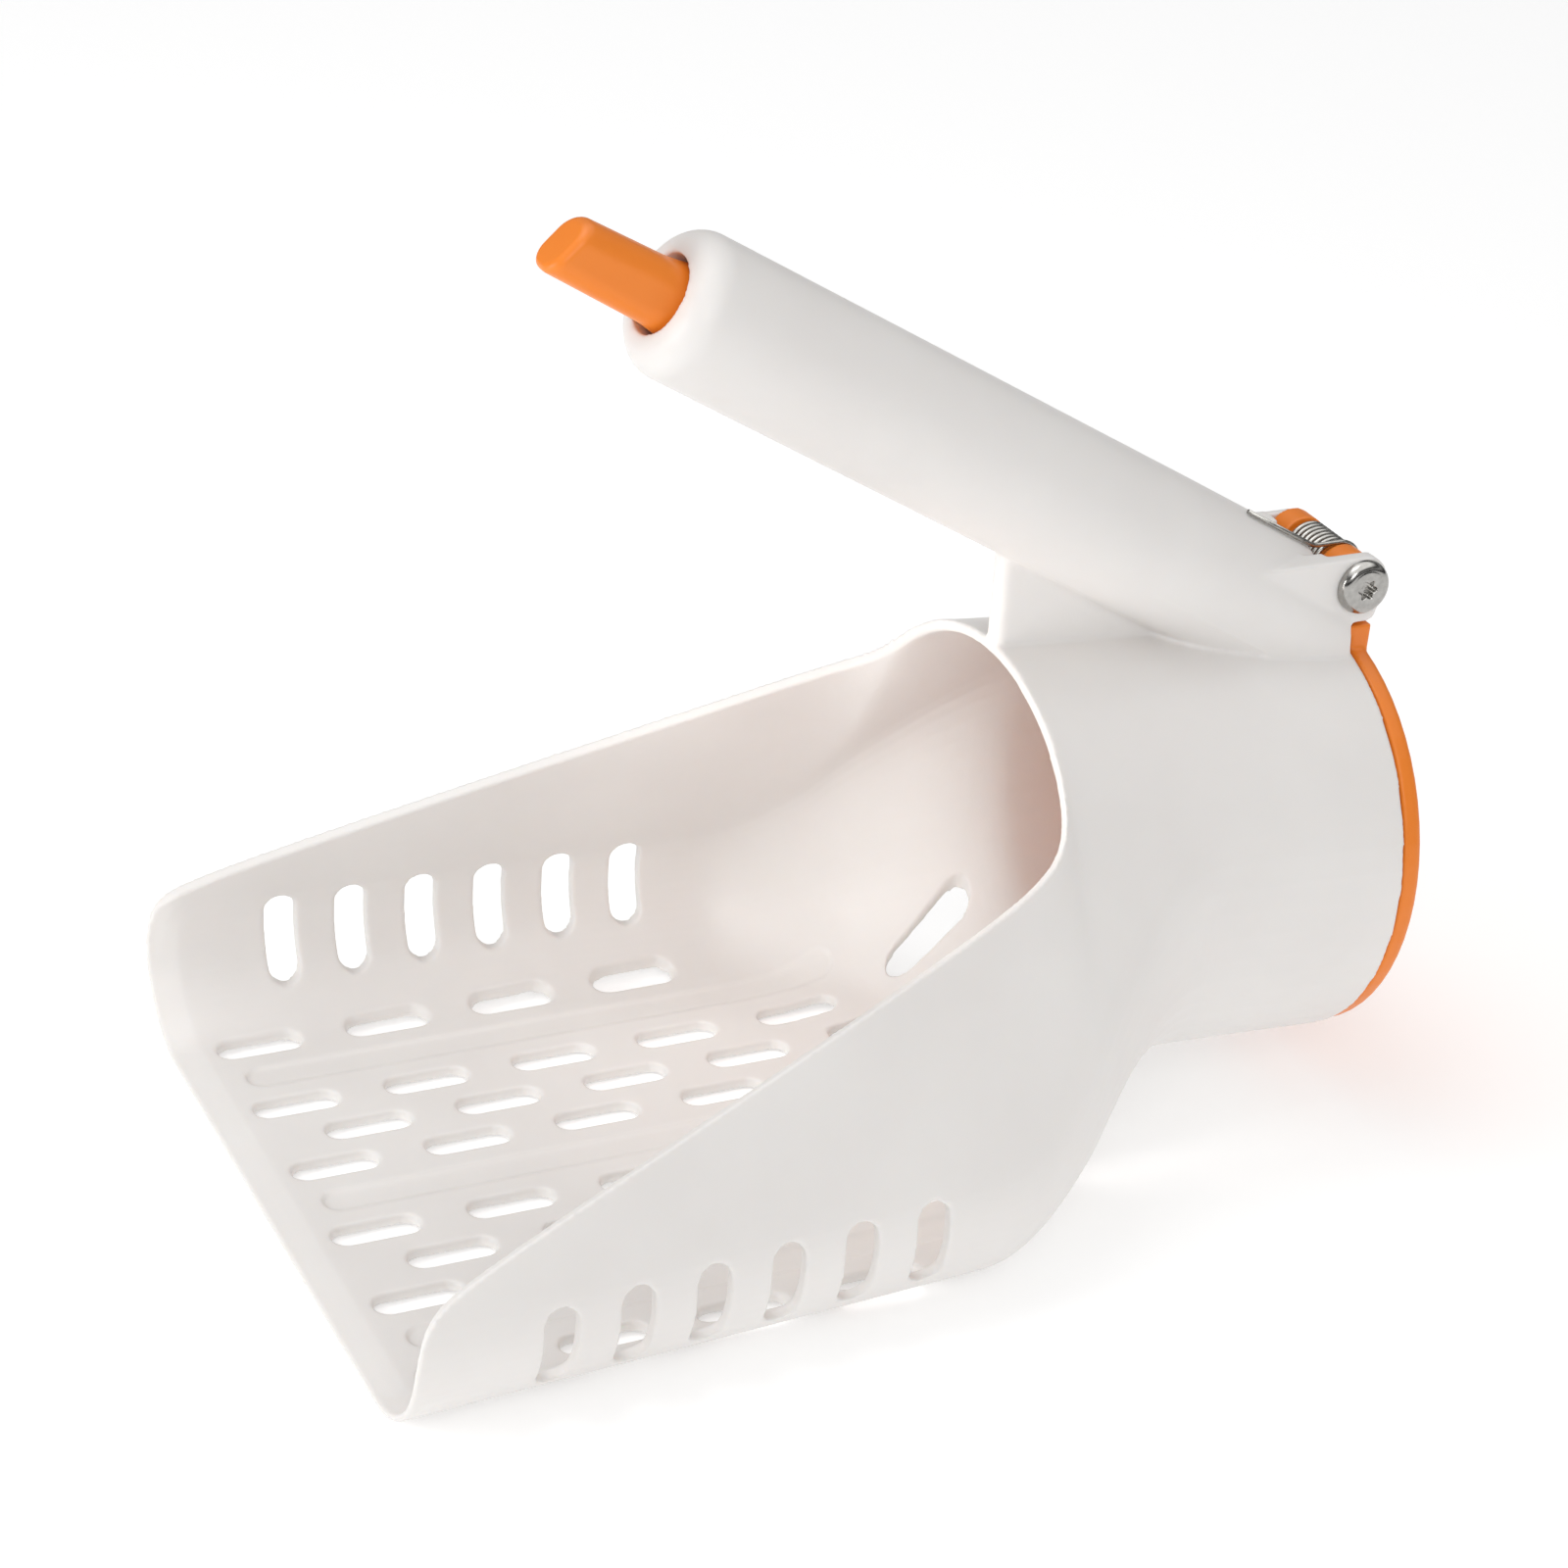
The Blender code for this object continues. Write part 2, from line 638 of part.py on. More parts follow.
def cam_face():
    """Involute of the base circle, so the nose drives the flap at a constant ratio."""
    points = []
    reach = -(BUTTON_TRAVEL + CAM_END_REACH)
    steps = 10
    for i in range(steps + 1):
        angle = -0.05 + (FLAP_OPEN + 0.06) * i / steps
        push = reach + CAM_BASE * angle
        contact = AXIS * push - RISE * CAM_BASE
        points.append(turn_open(contact.x, contact.z, -angle))
    return points


def cam_outline():
    """Side view of the cam finger, from its nose face back to the arm plate."""
    face = cam_face()
    angle = atan2(face[-1][1], face[-1][0])
    inner = (CAM_INNER * cos(angle), CAM_INNER * sin(angle))
    start = atan2(face[0][1], face[0][0]) % (2 * pi)
    outer = hypot(*face[0])
    outline = []
    for i in range(9):
        a = start + (radians(282.0) - start) * i / 8
        radius = outer + (CAM_OUTER - outer) * min(1.0, i / 3)
        outline.append((radius * cos(a), radius * sin(a)))
    outline.append((2.4, -CAM_INNER))
    first = angle % (2 * pi)
    for i in range(7):
        a = radians(272.0) + (first - radians(272.0)) * i / 6
        outline.append((CAM_INNER * cos(a), CAM_INNER * sin(a)))
    outline[-1] = inner
    outline += face[::-1][:-1]
    return [(PIN.x + x, PIN.z + z) for x, z in outline]


def make_flap(material):
    matrix = rear_matrix()
    edge = [(FLAP_THICKNESS - FLAP_ROUND * (1 - cos(a)), FLAP_RADIUS - FLAP_ROUND * (1 - sin(a)))
            for a in (radians(90.0 - 90.0 * i / 4) for i in range(5))]
    rings = [(GAP, FLAP_RADIUS - 0.4)] + [(GAP + 0.4, FLAP_RADIUS)]
    flap = turned(rings + [(GAP + x, r) for x, r in edge], matrix, 64)
    union(flap, make_arm())
    for span in (NEAR_KNUCKLE, FAR_KNUCKLE):
        union(flap, pin_cylinder(KNUCKLE_RADIUS, span))
        union(flap, prism(web_outline(), *span))
    union(flap, pin_cylinder(BARREL_RADIUS, (NEAR_KNUCKLE[1] - 1.0, FAR_KNUCKLE[0] + 1.0)))
    union(flap, prism(cam_outline(), -CAM_HALF, CAM_HALF))
    cut(flap, pin_cylinder(PIN_HOLE_RADIUS, (-20.0, 20.0), 24))
    return finish(flap, "rear_flap", material, PIN)


def plate_x(z, depth):
    """X of the flap plate at height z, a depth behind the rear rim's plane."""
    return REAR_X + tan(REAR_TILT) * (z - REAR_AXIS_Z) + depth / cos(REAR_TILT)


def make_arm():
    """Plate that rises from the disc to the hinge."""
    top = PIN.z + ARM_TOP
    step = REAR_AXIS_Z + FLAP_RADIUS + GAP
    rear = FLAP_THICKNESS + GAP
    outline = [(plate_x(ARM_BASE_Z, GAP), ARM_BASE_Z), (plate_x(ARM_BASE_Z, rear), ARM_BASE_Z),
               (plate_x(top, rear), top), (ARM_FRONT_X, top), (ARM_FRONT_X, step + 0.5),
               (plate_x(step, GAP), step)]
    return prism(outline, -ARM_HALF, ARM_HALF)


def web_outline():
    """Side view of the web that joins a knuckle to the arm plate."""
    low = PIN.z + ARM_TOP - 2.0
    front = ARM_FRONT_X
    rear = plate_x(low, FLAP_THICKNESS + GAP)
    return [(front, low), (rear, low), (PIN.x + KNUCKLE_RADIUS * 0.92, PIN.z - KNUCKLE_RADIUS * 0.38),
            (PIN.x, PIN.z), (front, PIN.z - 3.2)]


# --- plunger --------------------------------------------------------------------------

def rounded_ring(along, half_y, half_h, corner, slant=0.0, steps=5):
    """Ring of a rounded rectangle across the handle's axis, leaning back by slant."""
    ring = []
    for quadrant in range(4):
        for i in range(steps + 1):
            a = radians(90.0 * quadrant + 90.0 * i / steps)
            side = (half_y - corner) * (1 if quadrant in (0, 3) else -1) + corner * cos(a)
            rise = (half_h - corner) * (1 if quadrant in (0, 1) else -1) + corner * sin(a)
            ring.append(handle_point(along + slant * rise, side, rise))
    return ring


def make_button(material):
    """Flattened button that flares into a round base guided by the handle's bore."""
    rings = []
    for i in range(5):
        a = radians(90.0 * i / 4)
        shrink = BUTTON_EDGE * (1 - sin(a))
        rings.append(rounded_ring(BUTTON_TIP + BUTTON_EDGE * (1 - cos(a)), BUTTON_TIP_HALF[0] - shrink,
                                  BUTTON_TIP_HALF[1] - shrink, BUTTON_CORNER - shrink, BUTTON_SLANT))
    count = 6
    for i in range(count + 1):
        t = i / count
        along = BUTTON_FLARE_START + (BUTTON_FLARE_END - BUTTON_FLARE_START) * t
        grow = 1 - cos(t * pi / 2)
        half_y = BUTTON_ROOT_HALF[0] + (BUTTON_BASE_RADIUS - BUTTON_ROOT_HALF[0]) * grow
        half_h = BUTTON_ROOT_HALF[1] + (BUTTON_BASE_RADIUS - BUTTON_ROOT_HALF[1]) * grow
        corner = BUTTON_CORNER + (BUTTON_BASE_RADIUS - 0.05 - BUTTON_CORNER) * grow
        rings.append(rounded_ring(along, half_y, half_h, corner))
    rings.append(rounded_ring(BUTTON_BASE, BUTTON_BASE_RADIUS, BUTTON_BASE_RADIUS,
                              BUTTON_BASE_RADIUS - 0.05))
    button = build_object("button", *loft(rings))
    socket = turned([(ROD_START - GAP, ROD_RADIUS + GAP), (BUTTON_BASE + 5.0, ROD_RADIUS + GAP)],
                    handle_matrix(), 24)
    cut(button, socket)
    return finish(button, "thumb_button", material, HANDLE_FRONT)


def make_rod(material):
    rod = turned([(ROD_START, ROD_RADIUS), (ROD_END, ROD_RADIUS)], handle_matrix(), 24)
    return finish(rod, "push_rod", material, HANDLE_FRONT)


def make_pusher(material):
    """End piece of the rod; its nose meets the flap's cam finger."""
    nose_low, nose_high = PUSHER_NOSE
    pin_along = (PIN - HANDLE_FRONT).dot(AXIS)
    contact = pin_along - BUTTON_TRAVEL - CAM_END_REACH - GAP
    side = [(PUSHER_START, CAVITY_LOW + 0.5), (131.0, CAVITY_LOW + 0.5), (134.5, nose_low),
            (contact, nose_low), (contact, nose_high), (129.0, nose_high), (PUSHER_START, 4.2)]
    outline = []
    for along, rise in side:
        point = handle_point(along, 0.0, rise)
        outline.append((point.x, point.z))
    pusher = prism(outline, -PUSHER_HALF, PUSHER_HALF)
    socket = turned([(PUSHER_START - 5.0, ROD_RADIUS + GAP), (ROD_END + GAP, ROD_RADIUS + GAP)],
                    handle_matrix(), 24)
    cut(pusher, socket)
    return finish(pusher, "pusher", material, HANDLE_FRONT)


# --- hinge hardware ---------------------------------------------------------------------

def make_screw(material):
    """Button-head screw with a hexagon socket, seated on the near ear."""
    seat = NEAR_EAR[0] - 0.02
    face = seat - HEAD_HEIGHT
    profile = [(face, HEAD_FACE_RADIUS)]
    for i in range(5):
        a = radians(90.0 * i / 4)
        profile.append((face + HEAD_HEIGHT * 0.75 * (1 - cos(a)) + 0.08,
                        HEAD_FACE_RADIUS + (HEAD_RADIUS - HEAD_FACE_RADIUS) * sin(a)))
    profile += [(seat, HEAD_RADIUS), (seat, SCREW_SHANK_RADIUS), (SCREW_SHANK_END, SCREW_SHANK_RADIUS)]
    screw = turned(profile, pin_matrix(), 40)
    cut(screw, turned([(face - 2.0, SOCKET_RADIUS), (face + SOCKET_DEPTH, SOCKET_RADIUS)],
                      pin_matrix(), 6))
    return finish(screw, "hinge_screw", material)


def make_sleeve(material):
    """Sleeve nut: the flap turns on its barrel, and its flange seats in the far ear."""
    radius, thickness = SLEEVE_FLANGE
    end = FAR_EAR[1]
    profile = [(NEAR_EAR[0] + 0.5, SLEEVE_RADIUS), (end - thickness, SLEEVE_RADIUS),
               (end - thickness, radius), (end, radius)]
    sleeve = turned(profile, pin_matrix(), 32)
    cut(sleeve, turned([(NEAR_EAR[0] - 1.0, SLEEVE_BORE), (SCREW_SHANK_END + 1.0, SLEEVE_BORE)],
                       pin_matrix(), 24))
    return finish(sleeve, "hinge_sleeve_nut", material)


def spring_path():
    """Centre line of the torsion spring: top leg, coils, then a leg down the arm."""
    path = []
    near, far = SPRING_SPAN
    top = PIN.z + SPRING_RADIUS
    lift = PIN.z + SPRING_RADIUS + 0.5
    height = sqrt(HANDLE_RADIUS ** 2 - near ** 2) + SPRING_WIRE + 0.2
    front = handle_point(0.0, 0.0, height)
    bend_x = front.x + (front.z - lift) / tan(HANDLE_PITCH)
    start = Vector((bend_x - SPRING_LEG * AXIS.x, near, lift + SPRING_LEG * sin(HANDLE_PITCH)))
    path.append(start)
    path.append(Vector((bend_x, near, lift)))
    path.append(Vector((PIN.x - 4.0, near, lift)))
    steps = 12
    total = int(SPRING_TURNS * steps) + steps * 3 // 4
    for i in range(total + 1):
        a = pi / 2 - 2 * pi * i / steps
        radius = SPRING_RADIUS + (lift - top) * max(0.0, 1 - i / steps)
        y = near + (far - near) * i / total
        path.append(Vector((PIN.x + radius * cos(a), y, PIN.z + radius * sin(a))))
    return path


def tube(path, radius, sides=6):
    """Round wire along a path of points."""
    rings = []
    side = Vector((0.0, 1.0, 0.0))
    for i, point in enumerate(path):
        ahead = path[min(i + 1, len(path) - 1)]
        behind = path[max(i - 1, 0)]
        along = (ahead - behind).normalized()
        across = (side - along * side.dot(along)).normalized()
        up = along.cross(across)
        ring = []
        for j in range(sides):
            a = 2 * pi * j / sides
            ring.append(point + across * radius * cos(a) + up * radius * sin(a))
        rings.append(ring)
    return build_object("tube", *loft(rings))


def make_spring(material):
    return finish(tube(spring_path(), SPRING_WIRE), "torsion_spring", material)


def main():
    clear_scene()
    make_body(make_material("scoop_body", *WHITE_PLASTIC))
    make_button(make_material("thumb_button", *ORANGE_PLASTIC))
    make_rod(make_material("push_rod", *ORANGE_PLASTIC))
    make_pusher(make_material("pusher", *ORANGE_PLASTIC))
    make_flap(make_material("rear_flap", *ORANGE_PLASTIC))
    make_spring(make_material("torsion_spring", *SPRING_STEEL))
    make_screw(make_material("hinge_screw", *POLISHED_STEEL))
    make_sleeve(make_material("hinge_sleeve_nut", *POLISHED_STEEL))


main()
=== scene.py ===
"""The sifting scoop's looks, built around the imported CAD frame.

Shapes are computed in millimetres with X measured from the lip, as in the CAD, and
build_object moves them into the shared frame in metres.
"""
import json
from math import acos, atan2, cos, exp, hypot, pi, radians, sin, sqrt, tan

import bmesh
import bpy
from mathutils import Matrix, Vector


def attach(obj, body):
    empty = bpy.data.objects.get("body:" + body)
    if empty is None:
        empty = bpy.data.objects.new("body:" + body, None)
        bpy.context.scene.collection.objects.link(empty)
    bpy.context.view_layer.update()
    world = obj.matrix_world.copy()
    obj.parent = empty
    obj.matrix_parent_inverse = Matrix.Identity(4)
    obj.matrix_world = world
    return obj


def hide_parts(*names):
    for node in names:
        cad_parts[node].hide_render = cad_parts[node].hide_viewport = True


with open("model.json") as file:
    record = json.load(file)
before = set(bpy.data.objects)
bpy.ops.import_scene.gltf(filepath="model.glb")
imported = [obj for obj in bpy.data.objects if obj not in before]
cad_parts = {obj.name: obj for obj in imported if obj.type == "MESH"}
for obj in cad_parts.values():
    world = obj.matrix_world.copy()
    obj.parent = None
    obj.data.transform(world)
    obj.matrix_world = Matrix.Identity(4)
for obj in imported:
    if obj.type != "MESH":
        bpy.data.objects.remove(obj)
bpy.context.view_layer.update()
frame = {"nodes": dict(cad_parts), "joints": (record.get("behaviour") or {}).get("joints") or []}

MM = 0.001
PIN = Vector((200.3, 0.0, 100.0))
HINGE = next(joint for joint in frame["joints"] if joint["type"] == "hinge")
ORIGIN = PIN - Vector(HINGE["pos_m"]) / MM     # the lip's place in the shared frame

# --- tray and neck, as in the CAD --------------------------------------------------
WALL = 2.2
LIP_THICKNESS = 1.2
LIP_BEVEL_END = 6.0
FLOOR_HALF = 54.0
FLOOR_TAPER = 0.06
CORNER_RADIUS = 19.5
RIM_START = 28.0
RIM_SLOPE = 0.3286
RIM_BLEND = 5.9
ARCH_X = 132.6
ARCH_BLEND = 6.9
NECK_X = 131.0
NECK_RADIUS = 39.95
NARROWING = 3.5
NARROWING_LENGTH = 11.0
SWELL = 4.65
SWELL_LENGTH = 5.0
ROOF_FLARE = 0.079
ROOF_TOP_Z = 93.1
SHOULDER_START = 107.5
SHOULDER_END = 162.0
ROUNDNESS = 0.985
REAR_X = 198.5
REAR_AXIS_Z = 48.8
REAR_TILT = radians(2.54)

SLOT_LENGTH = 16.0
SLOT_WIDTH = 5.6
SLOT_PITCH = 25.0
SLOT_FIRST_X = 16.0
ROW_PITCH = 10.7
ROWS = ((1, 0.0, 5), (2, 10.0, 5), (3, 0.0, 5), (5, 0.0, 4))   # row, shift, slots
RAMP_SLOT_X = 143.0
RAMP_ROW = 3
SIDE_SLOT_FIRST_X = 25.2
SIDE_SLOT_PITCH = 13.65
SIDE_SLOT_COUNT = 6
SIDE_SLOT_BOTTOM = 6.2
SIDE_SLOT_HEIGHT = 16.8
SIDE_SLOT_WIDTH = 6.0
SIDE_SLOT_RISE = 0.03
GROOVE_ROWS = (0, 4)
GROOVE_START = 10.0
GROOVE_LENGTH = 118.0
GROOVE_WIDTH = 7.0
GROOVE_DEPTH = 0.6

# --- handle and hinge block, as in the CAD -------------------------------------------
HANDLE_FRONT = Vector((68.2, 0.0, 162.5))
HANDLE_PITCH = radians(30.1)
HANDLE_RADIUS = 13.5
HANDLE_NOSE_HALF = 12.95
HANDLE_NOSE_RADIUS = 5.6
HANDLE_NOSE_START = -3.5
HANDLE_TAPER_END = 110.0
HANDLE_BODY_END = 199.4
BORE_RADIUS = 7.1
BORE_END = 108.0
ROD_HOLE_RADIUS = 2.9
CAVITY_START = 118.0
CAVITY_HALF = 4.6
CAVITY_LOW = -4.2
CAVITY_HIGH = 8.4
CAVITY_FLOOR_Z = 90.3
WEB_X = (131.9, 172.0)
WEB_HALF = 2.3
WEB_CORNER = 2.0
WEB_BASE_Z = 85.0
BLOCK_TOP_Z = 105.3
BLOCK_MIDDLE_Z = 103.3
CHEEK_INNER = 7.5
BLOCK_FRONT_X = 190.5
BLOCK_HALF = 12.3
BLOCK_BASE_Z = 84.0
NEAR_EAR = (-12.3, -9.2)
FAR_EAR = (12.9, 14.7)
EAR_RADIUS = 5.6
FAR_EAR_RADIUS = 3.9
EAR_HEEL_RADIUS = 2.0
EAR_HEEL = (2.0, -5.4)
PIN_HOLE_RADIUS = 2.65
POCKET_RADIUS = 5.7
POCKET_FRONT = 6.0
ARM_TOP = -8.6

# --- plunger, spring and screw ----------------------------------------------------------
BUTTON_TIP = -24.0
BUTTON_TIP_HALF = (4.5, 5.3)
BUTTON_ROOT_HALF = (4.8, 5.6)
BUTTON_CORNER = 3.8
BUTTON_SLANT = 0.3
BUTTON_FLARE_START = -7.0
BUTTON_FLARE_END = 1.0
BUTTON_BASE = 16.0
BUTTON_BASE_RADIUS = 6.8
BUTTON_EDGE = 1.6
SPRING_WIRE = 0.45
SPRING_RADIUS = 4.4
SPRING_SPAN = (-3.75, 7.1)
SPRING_TURNS = 8.0
SPRING_LEG = 17.0
HEAD_RADIUS = 5.1
HEAD_HEIGHT = 2.3
HEAD_FACE_RADIUS = 3.5
SOCKET_RADIUS = 1.75
SOCKET_DEPTH = 1.5

# --- fineness of the visual meshes ---------------------------------------------------------
BODY_VOXEL = 0.42
FLAP_VOXEL = 0.3

AXIS = Vector((cos(HANDLE_PITCH), 0.0, -sin(HANDLE_PITCH)))
RISE = Vector((sin(HANDLE_PITCH), 0.0, cos(HANDLE_PITCH)))


def handle_point(along, side=0.0, rise=0.0):
    return HANDLE_FRONT + AXIS * along + RISE * rise + Vector((0.0, side, 0.0))


def handle_matrix():
    return Matrix((
        (AXIS.x, 0.0, RISE.x, HANDLE_FRONT.x),
        (0.0, 1.0, 0.0, 0.0),
        (AXIS.z, 0.0, RISE.z, HANDLE_FRONT.z),
        (0.0, 0.0, 0.0, 1.0),
    ))


def pin_matrix():
    """Local X becomes the hinge pin's axis, world Y."""
    return Matrix.Translation(PIN) @ Matrix.Rotation(pi / 2, 4, "Z")


# --- mesh helpers -----------------------------------------------------------------------------

def build_object(name, points, faces):
    mesh = bpy.data.meshes.new(name)
    mesh.from_pydata([(Vector(p) - ORIGIN) * MM for p in points], [], faces)
    obj = bpy.data.objects.new(name, mesh)
    bpy.context.collection.objects.link(obj)
    bm = bmesh.new()
    bm.from_mesh(mesh)
    bmesh.ops.remove_doubles(bm, verts=bm.verts, dist=1e-6)
    bmesh.ops.recalc_face_normals(bm, faces=bm.faces)
    bm.to_mesh(mesh)
    bm.free()
    return obj


def apply_modifiers(obj):
    depsgraph = bpy.context.evaluated_depsgraph_get()
    mesh = bpy.data.meshes.new_from_object(obj.evaluated_get(depsgraph))
    obj.modifiers.clear()
    obj.data = mesh
    return obj


def combine(target, tool, operation):
    modifier = target.modifiers.new(operation, "BOOLEAN")
    modifier.operation = operation
    modifier.solver = "EXACT"
    modifier.object = tool
    apply_modifiers(target)
    bpy.data.objects.remove(tool)
    return target


def union(target, tool):
    return combine(target, tool, "UNION")


def cut(target, tool):
    return combine(target, tool, "DIFFERENCE")


def join(target, others):
    """Put closed solids into one mesh; the voxel remesh then fuses them."""
    bm = bmesh.new()
    bm.from_mesh(target.data)
    for other in others:
        bm.from_mesh(other.data)
        bpy.data.objects.remove(other)
    bm.to_mesh(target.data)
    bm.free()
    return target


def soften(obj, voxel, rounds, factor=0.5):
    """Voxel remesh and smooth, which rounds every edge as a mould does."""
    remesh = obj.modifiers.new("remesh", "REMESH")
    remesh.mode = "VOXEL"
    remesh.voxel_size = voxel * MM
    remesh.adaptivity = 0.0
    smooth = obj.modifiers.new("smooth", "SMOOTH")
    smooth.factor = factor
    smooth.iterations = rounds
    apply_modifiers(obj)
    obj.data.shade_smooth()
    return obj


def loft(rings, close_ends=True):
    count = len(rings[0])
    points = [p for ring in rings for p in ring]
    faces = []
    for i in range(len(rings) - 1):
        for j in range(count):
            k = (j + 1) % count
            faces.append((i * count + j, i * count + k, (i + 1) * count + k, (i + 1) * count + j))
    if close_ends:
        faces.append(tuple(reversed(range(count))))
        faces.append(tuple((len(rings) - 1) * count + j for j in range(count)))
    return points, faces


def prism(outline, low, high):
    rings = [[Vector((x, y, z)) for x, z in outline] for y in (low, high)]
    return build_object("prism", *loft(rings))


def arc(centre, radius, start, end, steps):
    angles = [radians(start + (end - start) * i / steps) for i in range(steps + 1)]
    return [(centre[0] + radius * cos(a), centre[1] + radius * sin(a)) for a in angles]


def turned(profile, matrix, segments=96):
    rings = []
    for along, radius in profile:
        ring = []
        for j in range(segments):
            a = 2 * pi * j / segments
            ring.append(matrix @ Vector((along, radius * cos(a), radius * sin(a))))
        rings.append(ring)
    return build_object("turned", *loft(rings))


def pin_cylinder(radius, span, segments=64):
    return turned([(span[0], radius), (span[1], radius)], pin_matrix(), segments)


def stadium(length, width, steps=10):
    radius = width / 2
    reach = length / 2 - radius
    right = [(reach + radius * cos(a), radius * sin(a))
             for a in (radians(-90 + 180 * i / steps) for i in range(steps + 1))]
    return right + [(-x, -y) for x, y in right]


# --- tray and neck --------------------------------------------------------------------------------

def ease(value, low, high):
    t = min(1.0, max(0.0, (value - low) / (high - low)))
    return t * t * (3.0 - 2.0 * t)


def section_circles(x):
    """The section is the hull of a roof circle and two corner circles."""
    ahead = (NECK_X - x + hypot(NECK_X - x, 1.0)) / 2
    behind = ahead + x - NECK_X
    radius = NECK_RADIUS + NARROWING * exp(-behind / NARROWING_LENGTH)
    fall = (ROOF_TOP_Z - REAR_AXIS_Z - NECK_RADIUS) * behind / (REAR_X - NECK_X)
    axis_z = ROOF_TOP_Z - fall - radius
    blend = ROUNDNESS * ease(x, SHOULDER_START, SHOULDER_END)
    corner_y = (1 - blend) * (FLOOR_HALF - FLOOR_TAPER * x)
    corner_z = (1 - blend) * CORNER_RADIUS + blend * axis_z
    corner_radius = (1 - blend) * CORNER_RADIUS + blend * radius
    radius += SWELL * (1.0 - exp(-ahead / SWELL_LENGTH)) + ROOF_FLARE * ahead
    return radius, axis_z, corner_y, corner_z, corner_radius


def section_point(x, zone, t, inset):
    radius, axis_z, corner_y, corner_z, corner_radius = section_circles(x)
    radius -= inset
    corner_radius -= inset
    rise = axis_z - corner_z
    tangent = acos((radius - corner_radius) / hypot(corner_y, rise)) - atan2(rise, corner_y)
    if zone == "floor":
        return t * corner_y, corner_z - corner_radius
    if zone == "corner":
        a = -pi / 2 + t * (tangent + pi / 2)
        return corner_y + corner_radius * cos(a), corner_z + corner_radius * sin(a)
    if zone == "wall":
        low_y = corner_y + corner_radius * cos(tangent)
        low_z = corner_z + corner_radius * sin(tangent)
        high_y = radius * cos(tangent)
        high_z = axis_z + radius * sin(tangent)
        return low_y + t * (high_y - low_y), low_z + t * (high_z - low_z)
    a = tangent + t * (pi / 2 - tangent)
    return radius * cos(a), axis_z + radius * sin(a)


def mouth_x(z):
    """Front boundary of the moulding at height z: lip, wall edge, rim, then arch."""
    rim = (z - RIM_START) / RIM_SLOPE
    front = rim / 2 + hypot(rim / 2, RIM_BLEND)
    front -= RIM_BLEND ** 2 / (RIM_START / RIM_SLOPE)
    return max(0.0, (front + ARCH_X) / 2 - hypot((front - ARCH_X) / 2, ARCH_BLEND))


def line_start(zone, t):
    low, high = 0.0, NECK_X + 12.0
    if mouth_x(section_point(low, zone, t, 0.0)[1]) <= 0.0:
        return 0.0
    for _ in range(40):
        middle = (low + high) / 2
        if middle < mouth_x(section_point(middle, zone, t, 0.0)[1]):
            low = middle
        else:
            high = middle
    return high


def shell_lines():
    half = [("floor", i / 12) for i in range(13)]
    half += [("corner", i / 18) for i in range(1, 19)]
    half += [("wall", i / 40) for i in range(1, 41)]
    half += [("roof", (i / 40) ** 1.25) for i in range(1, 41)]
    near = [(zone, t, -1) for zone, t in half]
    far = [(zone, t, 1) for zone, t in half]
    return near + far[-2:0:-1]


def shell_stations(start):
    knee = max(SHOULDER_START - 6.0, start + 2.0)
    front = [start + (knee - start) * (i / 24) ** 1.4 for i in range(24)]
    count = 56
    return front + [knee + (REAR_X - knee) * i / count for i in range(count + 1)]


def shell_point(x, zone, t, side, inset):
    y, z = section_point(x, zone, t, inset)
    lean = tan(REAR_TILT) * (z - REAR_AXIS_Z) * ease(x, NECK_X, REAR_X)
    return Vector((x + lean, side * y, z))


def lip_inset(x):
    return LIP_THICKNESS + (WALL - LIP_THICKNESS) * ease(x, 0.0, LIP_BEVEL_END)


def skin(inset):
    columns = []
    for zone, t, side in shell_lines():
        column = []
        for x in shell_stations(line_start(zone, t)):
            depth = min(inset, lip_inset(x)) if inset else 0.0
            column.append(shell_point(x, zone, t, side, depth))
        columns.append(column)
    return [list(ring) for ring in zip(*columns)]


def make_shell():
    outer = skin(0.0)
    inner = skin(WALL)
    rings = outer + inner[::-1]
    points, faces = loft(rings, close_ends=False)
    count = len(outer[0])
    last = (len(rings) - 1) * count
    for j in range(count):
        k = (j + 1) % count
        faces.append((last + j, last + k, k, j))
    return build_object("shell", points, faces)


def make_neck_core():
    rings = []
    for i in range(41):
        x = NECK_X - 6.0 + (REAR_X + 8.0 - NECK_X) * i / 40
        rings.append([shell_point(x, zone, t, side, WALL / 2) for zone, t, side in shell_lines()])
    return build_object("core", *loft(rings))


SLOT_LEVELS = (                # height and widening of a floor slot, rounded at both faces
    (-3.0, 0.2), (0.0, 0.2), (0.2, 0.05), (0.4, 0.0), (1.75, 0.0), (2.0, 0.1),
    (2.2, 0.35), (2.6, 0.6), (8.0, 0.6),
)


def slot_cutter(centre, length, width, levels, upright=False):
    rings = []
    for level, growth in levels:
        ring = []
        for a, b in stadium(length + 2 * growth, width + 2 * growth):
            if upright:
                ring.append(Vector((centre[0] + b, level, centre[1] + a)))
            else:
                ring.append(Vector((centre[0] + a, centre[1] + b, level)))
        rings.append(ring)
    return loft(rings)


def floor_height(x, y, inset):
    radius, axis_z, corner_y, corner_z, corner_radius = section_circles(x)
    over = max(0.0, abs(y) - corner_y)
    return corner_z - sqrt((corner_radius - inset) ** 2 - over ** 2)


